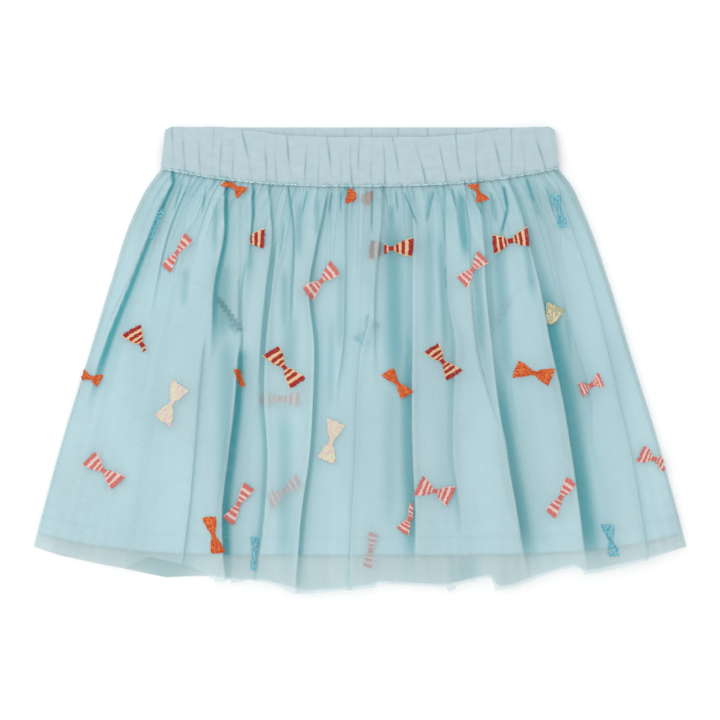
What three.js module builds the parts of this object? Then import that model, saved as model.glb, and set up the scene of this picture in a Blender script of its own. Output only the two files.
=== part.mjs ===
// A child's gathered net skirt with an elastic waistband, laid flat on a table.
// Millimetres. X runs across the waist, Y from the hem to the waist, Z up from the table.
// Every piece is a wall of cloth: a grid of points across and down, with an upper and a lower face.
import * as THREE from 'three';

// Driving sizes of the whole skirt
const WAIST_HALF = 126;        // half of the flat waist, at the lower edge of the band
const BAND_TOP = 147.5;        // height of the band's top edge above the middle of the skirt
const BAND_TOP_TUCK = 3;       // how much narrower each end of the band is at its top
const SEAM_SIDE = 121.5;       // waist seam at the side folds
const SEAM_SAG = 13.3;         // how far the seam hangs lower in the middle
const SEAM_CURVE = 2.5;        // power of the seam's sagging curve
const FRONT_DIP = 6.3;         // how far the front band's top edge hangs below the back's
const FRONT_DIP_MIDDLE = 0.53; // where across the band that dip is deepest
const FRONT_DIP_HALF = 0.41;   // half of the dip's width, as a share of the band

// Cloth and the clearances between its pieces
const CLOTH = 1.0;             // thickness of one wall of cloth
const SEAM_GAP = 0.3;          // clearance between neighbouring pieces
const POCKET_GAP = 0.45;       // clearance between a pocket bag and the curved lining
const POCKET_THICK = 1.2;      // two thin layers of a pocket bag
const BAND_THICK = 2.6;        // two layers of cloth and the elastic between them
const STEEPEST = 2.2;          // most that a sloping wall is thickened up and down

// Levels of the upper faces, from the table up
const BACK_TOP = CLOTH;
const BACK_LINING_TOP = BACK_TOP + SEAM_GAP + CLOTH;
const FRONT_LINING_LOW = BACK_LINING_TOP + SEAM_GAP;
const FRONT_LINING_TOP = FRONT_LINING_LOW + CLOTH;
const FRONT_EDGE_LOW = BACK_TOP + SEAM_GAP;
const FRONT_EDGE_TOP = FRONT_EDGE_LOW + 1.2 * CLOTH;
const FRONT_SEAM_TOP = FRONT_LINING_TOP + SEAM_GAP + CLOTH;
const FRONT_FLOOR = 8.4;       // valley floor of the front net, above lining and pockets
const FRONT_HEM_FLOOR = 6.6;   // the same at the hem
const FRONT_RISE = 0.06;       // share of the length in which the net rises from the seam
const SIDE_ROLL = 10;          // width of the rounded fold at each side
const SIDE_ROLL_AT_SEAM = 3;   // the same where the seam pulls the fold flat
const SIDE_ROLL_GROWS = 0.1;   // share of the length in which the fold opens out

// Outline of the net panels, from the waist seam (0) down to the hem (1)
const SIDES = [
  { down: 0.00, left: -126.0, right: 126.0 },
  { down: 0.04, left: -134.0, right: 136.0 },
  { down: 0.12, left: -144.0, right: 143.5 },
  { down: 0.30, left: -158.0, right: 158.0 },
  { down: 0.50, left: -172.5, right: 172.5 },
  { down: 0.70, left: -187.5, right: 187.5 },
  { down: 0.85, left: -197.5, right: 197.5 },
  { down: 1.00, left: -207.0, right: 207.0 },
];

// Hem of the front net, lifted in an arch near the left side
const FRONT_HEM = [
  { across: -207, y: -117.0 },
  { across: -177, y: -124.5 },
  { across: -149, y: -131.5 },
  { across: -134, y: -124.5 },
  { across: -120, y: -126.5 },
  { across: -105, y: -131.5 },
  { across: -92, y: -139.0 },
  { across: -71, y: -137.5 },
  { across: -53, y: -141.5 },
  { across: -38, y: -147.5 },
  { across: 0, y: -145.0 },
  { across: 33, y: -142.5 },
  { across: 55, y: -144.0 },
  { across: 74, y: -139.0 },
  { across: 86, y: -145.5 },
  { across: 101, y: -142.5 },
  { across: 134, y: -132.0 },
  { across: 165, y: -131.0 },
  { across: 184, y: -125.5 },
  { across: 207, y: -117.5 },
];

// Hem of the back net, which shows below the front's arch
const BACK_HEM = [
  { across: -207, y: -117.0 },
  { across: -170, y: -126.0 },
  { across: -115, y: -138.0 },
  { across: -60, y: -136.0 },
  { across: 0, y: -139.0 },
  { across: 60, y: -138.0 },
  { across: 120, y: -131.0 },
  { across: 170, y: -126.5 },
  { across: 207, y: -117.5 },
];

// Main folds of the front net: their paths at the waist, half way and at the hem, the height
// and half width of the ridge, the side it leans to, and where down the length it has faded
const FOLDS = [
  { waist: -125, middle: -161, hem: -188, height: 5.0, half: 9, lean: 1, ends: 0.78 },
  { waist: -116, middle: -134, hem: -150, height: 2.6, half: 6, lean: 1, ends: 0.42 },
  { waist: -104, middle: -128, hem: -152, height: 3.2, half: 11, lean: -1, ends: 1.2 },
  { waist: -86, middle: -95, hem: -106, height: 5.0, half: 8, lean: 1, ends: 0.50 },
  { waist: -79, middle: -103, hem: -118, height: 3.4, half: 10, lean: 1, ends: 1.2 },
  { waist: -69, middle: -78, hem: -86, height: 8.6, half: 12, lean: 1, ends: 1.2 },
  { waist: -57, middle: -61, hem: -65, height: 6.0, half: 9, lean: 1, ends: 1.2 },
  { waist: -44, middle: -47, hem: -52, height: 3.6, half: 8, lean: -1, ends: 0.55 },
  { waist: -24, middle: -29, hem: -40, height: 7.6, half: 11, lean: 1, ends: 1.2 },
  { waist: -9, middle: -10, hem: -12, height: 3.4, half: 8, lean: 1, ends: 0.52 },
  { waist: 4, middle: 0, hem: -6, height: 2.6, half: 10, lean: -1, ends: 1.2 },
  { waist: 14, middle: 10, hem: 11, height: 4.0, half: 7, lean: 1, ends: 0.55 },
  { waist: 37, middle: 33, hem: 35, height: 8.2, half: 11, lean: -1, ends: 1.2 },
  { waist: 53, middle: 61, hem: 63, height: 5.2, half: 9, lean: 1, ends: 0.88 },
  { waist: 68, middle: 76, hem: 84, height: 3.0, half: 8, lean: -1, ends: 1.2 },
  { waist: 80, middle: 88, hem: 107, height: 8.4, half: 12, lean: 1, ends: 1.2 },
  { waist: 102, middle: 126, hem: 142, height: 8.4, half: 12, lean: 1, ends: 1.2 },
  { waist: 113, middle: 141, hem: 160, height: 4.4, half: 8, lean: 1, ends: 0.74 },
  { waist: 124, middle: 155, hem: 182, height: 3.2, half: 11, lean: 1, ends: 1.2 },
];
const FOLD_LEAN = 0.35;        // sideways lean of a ridge, as a share of its half width
const FOLD_FADE = 0.14;        // share of the length in which a fold dies away
const FOLD_START = 0.16;       // share of the length in which it grows from the seam
const FOLD_AT_SEAM = 0.12;     // share of its height that a fold has at the seam

// Small gathers that the waist seam holds
const GATHERS = 48;
const GATHER_HEIGHT = 1.5;     // height of an average gather
const GATHER_REACH = 0.22;     // share of the length in which an average gather dies away

// Lining, which is a little smaller than the net all round
const LINING_INSET = 6;
const LINING_HEM = -123.5;
const LINING_HEM_RISE = 14;    // how much higher its hem is at the sides
const LINING_HEM_CURVE = 5;
const LINING_WAVE = 1.0;       // height of its soft waves
const LINING_WAVES = 7;

// Pocket bags between the lining and the front net; across runs inwards from the side
const POCKET_TOP = 0.055;      // share of the length at which a bag starts
const POCKET_SIDE = 9;         // distance of a bag from the side fold
const POCKET_LEFT_INNER = -76;
const POCKET_RIGHT_INNER = 83;
const POCKET_FOOT = [
  { across: 0.00, y: 62 },
  { across: 0.40, y: 50 },
  { across: 0.72, y: 40 },
  { across: 1.00, y: 21 },
];

// Ripples of the waistband
const BAND_CREASES = 30;
const BAND_CREASE = 0.7;       // height of the front's ripples
const BAND_SLANT = 0.7;        // how many ripples a crease moves across from top to seam
const BACK_BAND_CREASES = 45;
const BACK_BAND_CREASE = 0.4;  // height of the finer ripples inside the back
const BAND_EDGE = 0.8;         // how much thinner the band is at its edges

// Grids: steps across and rows down
const FRONT_STEPS = GATHERS * 3;
const FRONT_ROWS = [0, 0.018, 0.05, 0.11, 0.2, 0.32, 0.48, 0.66, 0.84, 1];
const BACK_STEPS = 36;
const BACK_ROWS = [0, 0.04, 0.12, 0.3, 0.5, 0.7, 0.85, 1];
const LINING_STEPS = 42;
const LINING_ROWS = [0, 0.04, 0.12, 0.3, 0.5, 0.7, 0.85, 1];
const BAND_ROWS = [0, 0.16, 0.5, 0.84, 1];
const BACK_BAND_ROWS = [0, 0.2, 1];
const POCKET_STEPS = 8;
const POCKET_ROWS = [0, 0.25, 0.5, 0.75, 1];

const netMaterial = new THREE.MeshStandardMaterial({ color: 0xb8d9e0, roughness: 0.9, metalness: 0 });
const liningMaterial = new THREE.MeshStandardMaterial({ color: 0xbfdfe6, roughness: 0.85, metalness: 0 });
const bandMaterial = new THREE.MeshStandardMaterial({ color: 0xb9d5da, roughness: 0.85, metalness: 0 });
const pocketMaterial = new THREE.MeshStandardMaterial({ color: 0xb4d6de, roughness: 0.85, metalness: 0 });

function clamp(value, low, high) {
  return Math.min(Math.max(value, low), high);
}

function ease(share) {
  const t = clamp(share, 0, 1);
  return t * t * (3 - 2 * t);
}

// Value of a table's column at a place between its rows, on a smooth curve through them.
function readTable(rows, key, column, at) {
  const last = rows.length - 1;
  let i = 0;
  while (i < last - 1 && at > rows[i + 1][key]) i += 1;
  const slope = (k) => {
    const before = rows[Math.max(k - 1, 0)];
    const after = rows[Math.min(k + 1, last)];
    return (after[column] - before[column]) / (after[key] - before[key]);
  };
  const span = rows[i + 1][key] - rows[i][key];
  const t = clamp((at - rows[i][key]) / span, 0, 1);
  const rise = rows[i + 1][column] - rows[i][column];
  const bend = t * (1 - t);
  const hermite = (1 - t) * (slope(i) * span - rise) - t * (slope(i + 1) * span - rise);
  return rows[i][column] + rise * t + bend * hermite;
}

// A fixed, uneven number from 0 to 1 for the item with this index.
function uneven(index) {
  const wave = Math.sin(index * 12.9898 + 4.1) * 43758.5453;
  return wave - Math.floor(wave);
}

// A smooth ridge, 1 at its middle and 0 one half width away.
function ridge(distance, half) {
  const t = clamp(distance / half, -1, 1);
  return Math.cos(t * Math.PI / 2) ** 2;
}

// Height of the waist seam at a distance from the middle.
function seamY(x) {
  const fromMiddle = Math.min(Math.abs(x) / WAIST_HALF, 1);
  return SEAM_SIDE - SEAM_SAG * (1 - fromMiddle ** SEAM_CURVE);
}

// Place on a net panel, before its folds: across 0 to 1, down 0 at the seam to 1 at the hem.
function panelPoint(across, down, hem) {
  const left = readTable(SIDES, 'down', 'left', down);
  const right = readTable(SIDES, 'down', 'right', down);
  const foot = SIDES[SIDES.length - 1];
  const hemAt = foot.left + (foot.right - foot.left) * across;
  const top = seamY((2 * across - 1) * WAIST_HALF) - SEAM_GAP;
  const bottom = readTable(hem, 'across', 'y', hemAt);
  return {
    x: left + (right - left) * across,
    y: top + (bottom - top) * down,
    fromSide: (right - left) * Math.min(across, 1 - across),
  };
}

// Where a fold's ridge runs at this share of the length.
function foldPath(fold, down) {
  const bend = fold.middle - (fold.waist + fold.hem) / 2;
  return fold.waist + (fold.hem - fold.waist) * down + bend * 4 * down * (1 - down);
}

// How much of its height a fold has at this share of the length.
function foldStrength(fold, down) {
  const start = FOLD_AT_SEAM + (1 - FOLD_AT_SEAM) * ease(down / FOLD_START);
  const end = 1 - ease((down - fold.ends + FOLD_FADE) / FOLD_FADE);
  return start * end;
}

// Upper face of the front net: a valley floor, the main folds and the small gathers on it.
function frontNetPoint(across, down) {
  const place = panelPoint(across, down, FRONT_HEM);
  const opened = ease(down / SIDE_ROLL_GROWS);
  const rollWidth = SIDE_ROLL_AT_SEAM + (SIDE_ROLL - SIDE_ROLL_AT_SEAM) * opened;
  const roll = clamp(place.fromSide / rollWidth, 0, 1);
  const round = Math.sqrt(1 - (1 - roll) ** 2);
  const risen = FRONT_SEAM_TOP + (FRONT_FLOOR - FRONT_SEAM_TOP) * ease(down / FRONT_RISE);
  const middle = risen + (FRONT_HEM_FLOOR - FRONT_FLOOR) * ease((down - 0.5) * 2);
  let { x } = place;
  let z = FRONT_EDGE_TOP + (middle - FRONT_EDGE_TOP) * round;
  for (const fold of FOLDS) {
    const amount = foldStrength(fold, down) * ridge(place.x - foldPath(fold, down), fold.half) * round;
    z += fold.height * amount;
    x += fold.lean * fold.half * FOLD_LEAN * amount;
  }
  z += gatherHeight(across, down) * round;
  return { x, y: place.y, z };
}

function gatherHeight(across, down) {
  const index = Math.min(Math.floor(across * GATHERS), GATHERS - 1);
  const height = GATHER_HEIGHT * (0.6 + 0.8 * uneven(index));
  const reach = GATHER_REACH * (0.5 + 1.4 * uneven(index + GATHERS));
  const fade = 1 - ease((down - 0.3 * reach) / reach);
  const middle = (index + 0.5) / GATHERS;
  return height * fade * ridge(across - middle, 0.5 / GATHERS);
}

// Lower face of a wall below an upper point, thicker where the wall is steep, so that the
// cloth keeps its thickness. The slope is read across the wall.
function underside(pointAt, across, down, step) {
  const here = pointAt(across, down);
  const before = pointAt(Math.max(across - step, 0), down);
  const after = pointAt(Math.min(across + step, 1), down);
  const slope = (after.z - before.z) / (after.x - before.x);
  return here.z - CLOTH * Math.min(Math.hypot(1, slope), STEEPEST);
}

function liningPoint(across, down) {
  const left = readTable(SIDES, 'down', 'left', down) + LINING_INSET;
  const right = readTable(SIDES, 'down', 'right', down) - LINING_INSET;
  const rise = LINING_HEM_RISE * Math.abs(2 * across - 1) ** LINING_HEM_CURVE;
  const top = seamY((2 * across - 1) * (WAIST_HALF - LINING_INSET)) - SEAM_GAP;
  return {
    x: left + (right - left) * across,
    y: top + (LINING_HEM + rise - top) * down,
  };
}

// Soft waves of the front lining, flat at the seam and at the side folds.
function liningWave(across, down) {
  const edge = ease(Math.min(across, 1 - across) * 8);
  const wave = 0.5 - 0.5 * Math.cos(across * LINING_WAVES * 2 * Math.PI);
  return LINING_WAVE * wave * edge * ease(down * 2);
}

// Height of the front lining's upper face at a place on the skirt.
function liningTopAt(x, y) {
  const down = clamp((SEAM_SIDE - SEAM_SAG - y) / (SEAM_SIDE - SEAM_SAG - LINING_HEM), 0, 1);
  const left = readTable(SIDES, 'down', 'left', down) + LINING_INSET;
  const right = readTable(SIDES, 'down', 'right', down) - LINING_INSET;
  return FRONT_LINING_TOP + liningWave(clamp((x - left) / (right - left), 0, 1), down);
}

// Place on the waistband: down runs from the top edge (0) to the seam (1).
function bandPoint(across, down, dip) {
  const half = WAIST_HALF - BAND_TOP_TUCK * (1 - down);
  const fromMiddle = (across - FRONT_DIP_MIDDLE) / FRONT_DIP_HALF;
  const hang = dip * ease(1 - fromMiddle ** 2);
  const top = BAND_TOP - hang;
  const seam = seamY((2 * across - 1) * WAIST_HALF);
  return { x: (2 * across - 1) * half, y: top + (seam - top) * down };
}

// Thinning of the band at its top edge, its seam and its ends.
function bandEdge(across, down) {
  const acrossEdge = 1 - ease(Math.min(across, 1 - across) * 30);
  const downEdge = 1 - ease(Math.min(down, 1 - down) * 6);
  return BAND_EDGE * Math.max(acrossEdge, downEdge);
}

function bandRipple(across, down, creases, height, slant) {
  const phase = across * creases - down * slant;
  const size = height * (0.55 + 0.45 * uneven(Math.floor(phase)));
  return size * (0.5 - 0.5 * Math.cos(phase * 2 * Math.PI));
}

// One closed wall of cloth from the points of its upper and lower faces.
function clothWall(name, material, steps, rows, upperAt, lowerAt) {
  const columns = steps + 1;
  const faceSize = columns * rows.length;
  const positions = [];
  for (const faceAt of [upperAt, lowerAt]) {
    for (const down of rows) {
      for (let i = 0; i < columns; i += 1) {
        const point = faceAt(i / steps, down);
        positions.push(point.x, point.y, point.z);
      }
    }
  }
  const triangles = [];
  for (let j = 0; j < rows.length - 1; j += 1) {
    for (let i = 0; i < steps; i += 1) {
      const a = j * columns + i;
      const b = a + 1;
      const c = b + columns;
      const d = a + columns;
      triangles.push(a, d, c, a, c, b);
      triangles.push(faceSize + a, faceSize + c, faceSize + d, faceSize + a, faceSize + b, faceSize + c);
    }
  }
  const rim = rimLoop(columns, rows.length);
  rim.forEach((from, k) => {
    const to = rim[(k + 1) % rim.length];
    triangles.push(from, faceSize + from, faceSize + to, from, faceSize + to, to);
  });
  const geometry = new THREE.BufferGeometry();
  geometry.setAttribute('position', new THREE.Float32BufferAttribute(positions, 3));
  geometry.setIndex(triangles);
  geometry.computeVertexNormals();
  const mesh = new THREE.Mesh(geometry, material);
  mesh.name = name;
  return mesh;
}

// Points round a grid's edge, anticlockwise as seen from above.
function rimLoop(columns, rowCount) {
  const loop = [];
  const lastRow = (rowCount - 1) * columns;
  for (let j = 0; j < rowCount - 1; j += 1) loop.push(j * columns);
  for (let i = 0; i < columns - 1; i += 1) loop.push(lastRow + i);
  for (let j = rowCount - 1; j > 0; j -= 1) loop.push(j * columns + columns - 1);
  for (let i = columns - 1; i > 0; i -= 1) loop.push(i);
  return loop;
}

function frontNet() {
  const step = 1 / FRONT_STEPS;
  const lowerAt = (across, down) => {
    const { x, y } = frontNetPoint(across, down);
    return { x, y, z: Math.max(FRONT_EDGE_LOW, underside(frontNetPoint, across, down, step)) };
  };
  return clothWall('net_front', netMaterial, FRONT_STEPS, FRONT_ROWS, frontNetPoint, lowerAt);
}

function backNet() {
  const upperAt = (across, down) => ({ ...panelPoint(across, down, BACK_HEM), z: BACK_TOP });
  const lowerAt = (across, down) => ({ ...panelPoint(across, down, BACK_HEM), z: 0 });
  return clothWall('net_back', netMaterial, BACK_STEPS, BACK_ROWS, upperAt, lowerAt);
}

function frontLining() {
  const faceAt = (low) => (across, down) => (
    { ...liningPoint(across, down), z: low + liningWave(across, down) });
  const upper = faceAt(FRONT_LINING_TOP);
  const lower = faceAt(FRONT_LINING_LOW);
  return clothWall('lining_front', liningMaterial, LINING_STEPS, LINING_ROWS, upper, lower);
}

function backLining() {
  const faceAt = (z) => (across, down) => ({ ...liningPoint(across, down), z });
  const upper = faceAt(BACK_LINING_TOP);
  const lower = faceAt(BACK_TOP + SEAM_GAP);
  return clothWall('lining_back', liningMaterial, BACK_STEPS, BACK_ROWS, upper, lower);
}

// A pocket bag on the front lining. Inwards is +1 for the left bag and -1 for the right.
function pocket(name, side, inner, inwards) {
  const pointAt = (fromSide, down) => {
    const top = readTable(SIDES, 'down', side, POCKET_TOP) + inwards * POCKET_SIDE;
    const foot = readTable(POCKET_FOOT, 'across', 'y', fromSide);
    const x = top + (inner - top) * fromSide;
    const head = seamY(x) - POCKET_TOP * (SEAM_SIDE - LINING_HEM);
    return { x, y: head + (foot - head) * down };
  };
  const faceAt = (lift) => (across, down) => {
    const fromSide = inwards > 0 ? across : 1 - across;
    const { x, y } = pointAt(fromSide, down);
    return { x, y, z: liningTopAt(x, y) + lift };
  };
  const upper = faceAt(POCKET_GAP + POCKET_THICK);
  return clothWall(name, pocketMaterial, POCKET_STEPS, POCKET_ROWS, upper, faceAt(POCKET_GAP));
}

function backBand() {
  const upperAt = (across, down) => {
    const ripple = bandRipple(across, down, BACK_BAND_CREASES, BACK_BAND_CREASE, 0);
    return { ...bandPoint(across, down, 0), z: BAND_THICK + ripple - bandEdge(across, down) };
  };
  const lowerAt = (across, down) => ({ ...bandPoint(across, down, 0), z: 0 });
  return clothWall('waistband_back', bandMaterial, BACK_BAND_CREASES * 2, BACK_BAND_ROWS, upperAt, lowerAt);
}

function frontBand() {
  const low = BAND_THICK + BACK_BAND_CREASE + SEAM_GAP;
  const upperAt = (across, down) => {
    const ripple = bandRipple(across, down, BAND_CREASES, BAND_CREASE, BAND_SLANT);
    const z = low + BAND_THICK + ripple - bandEdge(across, down);
    return { ...bandPoint(across, down, FRONT_DIP), z };
  };
  const lowerAt = (across, down) => ({ ...bandPoint(across, down, FRONT_DIP), z: low });
  return clothWall('waistband_front', bandMaterial, BAND_CREASES * 4, BAND_ROWS, upperAt, lowerAt);
}

// The skirt stands on its lowest face, with the middle of its outline at the origin.
function layOnTable(skirt) {
  const box = new THREE.Box3().setFromObject(skirt);
  const middle = box.getCenter(new THREE.Vector3());
  skirt.position.set(-middle.x, -middle.y, -box.min.z);
  skirt.updateMatrixWorld(true);
}

const skirt = new THREE.Group();
skirt.add(backNet());
skirt.add(backLining());
skirt.add(frontLining());
skirt.add(pocket('pocket_left', 'left', POCKET_LEFT_INNER, 1));
skirt.add(pocket('pocket_right', 'right', POCKET_RIGHT_INNER, -1));
skirt.add(frontNet());
skirt.add(backBand());
skirt.add(frontBand());
layOnTable(skirt);

export default skirt;
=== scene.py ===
"""Looks of a child's gathered net skirt, laid flat on a pale table and seen from straight above."""

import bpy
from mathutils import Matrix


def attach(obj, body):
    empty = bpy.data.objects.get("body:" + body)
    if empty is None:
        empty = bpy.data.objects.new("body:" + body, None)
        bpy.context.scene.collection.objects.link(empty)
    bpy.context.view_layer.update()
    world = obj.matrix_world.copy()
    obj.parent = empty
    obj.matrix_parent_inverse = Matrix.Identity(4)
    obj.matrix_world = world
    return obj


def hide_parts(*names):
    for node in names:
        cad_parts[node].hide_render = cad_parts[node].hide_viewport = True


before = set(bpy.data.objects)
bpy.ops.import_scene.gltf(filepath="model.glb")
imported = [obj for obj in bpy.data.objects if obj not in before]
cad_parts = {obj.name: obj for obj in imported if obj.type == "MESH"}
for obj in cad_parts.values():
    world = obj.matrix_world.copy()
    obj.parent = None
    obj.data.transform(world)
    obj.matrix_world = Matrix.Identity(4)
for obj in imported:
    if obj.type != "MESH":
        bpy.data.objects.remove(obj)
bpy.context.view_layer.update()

import math
from typing import NamedTuple

import bpy
import numpy as np
from mathutils import Vector
from mathutils.bvhtree import BVHTree

MM = 0.001  # every size below is in millimetres

# Waistband and its seam, as in the part's source
WAIST_HALF = 126.0
BAND_TOP = 147.5
BAND_TOP_TUCK = 3.0      # how much narrower the band is at its top, at each end
BAND_THICK = 2.6
BAND_CORNER = 4.0        # length over which the band rounds off at its ends
FRONT_BAND_LOW = 3.3     # level of the front band's lower face
SEAM_SIDE = 121.5        # y of the waist seam at the sides
SEAM_SAG = 11.4          # how far it hangs in the middle
SEAM_CURVE = 2.5
SEAM_MIDDLE = SEAM_SIDE - SEAM_SAG
SEAM_GAP = 0.3
FRONT_DIP = 6.3          # how far the front band's top edge hangs below the back one's
FRONT_DIP_MIDDLE = 0.53  # where it hangs most, as a share of the width
FRONT_DIP_HALF = 0.41

# Levels of the layers, from the table up
BACK_NET_LEVEL = 0.5
BACK_LINING_LEVEL = 1.5
FRONT_LINING_TOP = 3.6
FRONT_EDGE_LEVEL = 2.0   # the front net at its side folds
FRONT_SEAM_LEVEL = 4.5
FRONT_FLOOR = 8.0        # the front net's valleys
FRONT_HEM_FLOOR = 6.2
FRONT_RISE = 0.06        # share of the length over which the net rises from the seam
SIDE_ROLL = 10.0         # width over which it rounds down to the side folds
SIDE_ROLL_AT_SEAM = 3.0
SIDE_ROLL_GROWS = 0.1
CALM_WIDTH = 14.0        # width along the side folds in which the other folds die away

# Linings
LINING_INSET = 3.6       # how far the linings stay inside the net's side folds
LINING_HEM = -123.5      # y of their hem in the middle
LINING_HEM_RISE = 14.0   # how much higher it is at the sides
LINING_HEM_CURVE = 4.4
LINING_WAVE = 1.0        # height of the front lining's waves
LINING_WAVES = 7
LINING_THICK = 0.6
LINING_ROWS = 130
HEM_ROW = 0.952          # place of the hem's stitches, as a share of the length
HEM_STITCHES = 190

# Pocket bags on the front lining: side column of the outline, direction inwards, x of the inner edge
POCKETS = dict(
    pocket_left=dict(side=1, inwards=1, inner=-76.0),
    pocket_right=dict(side=2, inwards=-1, inner=83.0),
)
POCKET_TOP = 0.055       # share of the lining's length above the bags
POCKET_SIDE = 9.0        # how far they stay inside the net's side folds
POCKET_GAP = 0.15        # between the lining and a bag
POCKET_THICK = 0.6
POCKET_PUFF = 0.3
POCKET_FOOT = ((0.0, 62.0), (0.4, 50.0), (0.72, 40.0), (1.0, 21.0))  # share from the side, y
POCKET_STITCHES = 14     # in each of a bag's two rows

# Outline of the net panels from the waist seam (0) down to the hem (1): down, left, right
SIDES = (
    (0.00, -126.0, 126.0),
    (0.04, -133.5, 133.5),
    (0.12, -143.5, 142.6),
    (0.30, -158.0, 158.0),
    (0.50, -172.5, 172.5),
    (0.70, -187.5, 187.5),
    (0.85, -197.5, 197.5),
    (1.00, -207.0, 207.0),
)

# Hem of the front net: x at the hem, y. It steps where one fold's panel ends past the next.
FRONT_HEM = (
    (-207.0, -117.0), (-190.0, -121.9), (-177.0, -125.0), (-160.0, -129.2), (-148.5, -131.6),
    (-142.0, -128.4), (-133.5, -124.2), (-124.0, -126.2), (-113.0, -128.8), (-106.0, -130.6),
    (-98.0, -134.4), (-93.7, -137.6), (-92.4, -137.9), (-92.0, -139.4), (-87.4, -139.9),
    (-81.9, -138.0), (-81.2, -140.8), (-76.0, -140.3), (-70.3, -138.7), (-60.8, -140.3),
    (-51.9, -142.6), (-43.7, -146.3), (-40.2, -147.5), (-34.2, -147.9), (-12.0, -146.0),
    (9.6, -143.9), (10.4, -141.4), (34.0, -142.2), (54.4, -143.7), (55.6, -146.4),
    (60.4, -144.9), (61.2, -141.8), (73.6, -139.9), (74.2, -138.2), (82.6, -137.4),
    (84.2, -140.4), (85.4, -145.9), (96.8, -143.8), (114.6, -136.8), (127.9, -132.4),
    (136.1, -131.0), (139.7, -131.9), (141.8, -135.6), (152.0, -134.2), (172.0, -129.4),
    (190.0, -123.6), (207.0, -117.3),
)

# Hem of the back net: x at the hem, y
BACK_HEM = (
    (-207, -118.6), (-190, -124.2), (-170, -128.4), (-146, -133.2), (-123, -138.0), (-108, -137.2),
    (-92, -137.0), (-76, -139.0), (-60, -139.6), (-43, -144.0), (-34, -146.4), (-12, -144.8),
    (8, -142.6), (12, -140.2), (54, -142.4), (62, -140.6), (82, -136.2), (88, -143.6), (97, -142.4),
    (114, -135.6), (136, -129.6), (143, -134.0), (172, -128.0), (207, -118.6),
)

# Places of the back net, deeper with painted shade and denser net, that show past the front net's
# hem: x, half width
HEM_SHADES = ((-124.0, 26.0), (66.5, 11.0))

# Heights y at which the table of folds gives each fold's edge
FOLD_Y = (112, 80, 45, 10, -25, -60, -95, -140)


class Fold(NamedTuple):
    """A fold of the front net, with its edge and the valley past it."""

    covers: int      # 1 where the panel left of the edge lies over the one on its right, else -1
    edge: tuple      # x of the edge at each height of FOLD_Y
    over: float      # width of the overlap
    wide: float      # width of the slope up to the edge
    tuck: float      # width of the part folded back
    high: float      # height of the fold
    gap: float       # width of the valley
    dark: float      # depth of the valley's painted shade, from 0 to 1
    top: float       # height y at which the fold starts
    end: float       # height y at which it has died away
    deep_below: float = None  # height y below which the valley has its full painted shade


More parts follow.
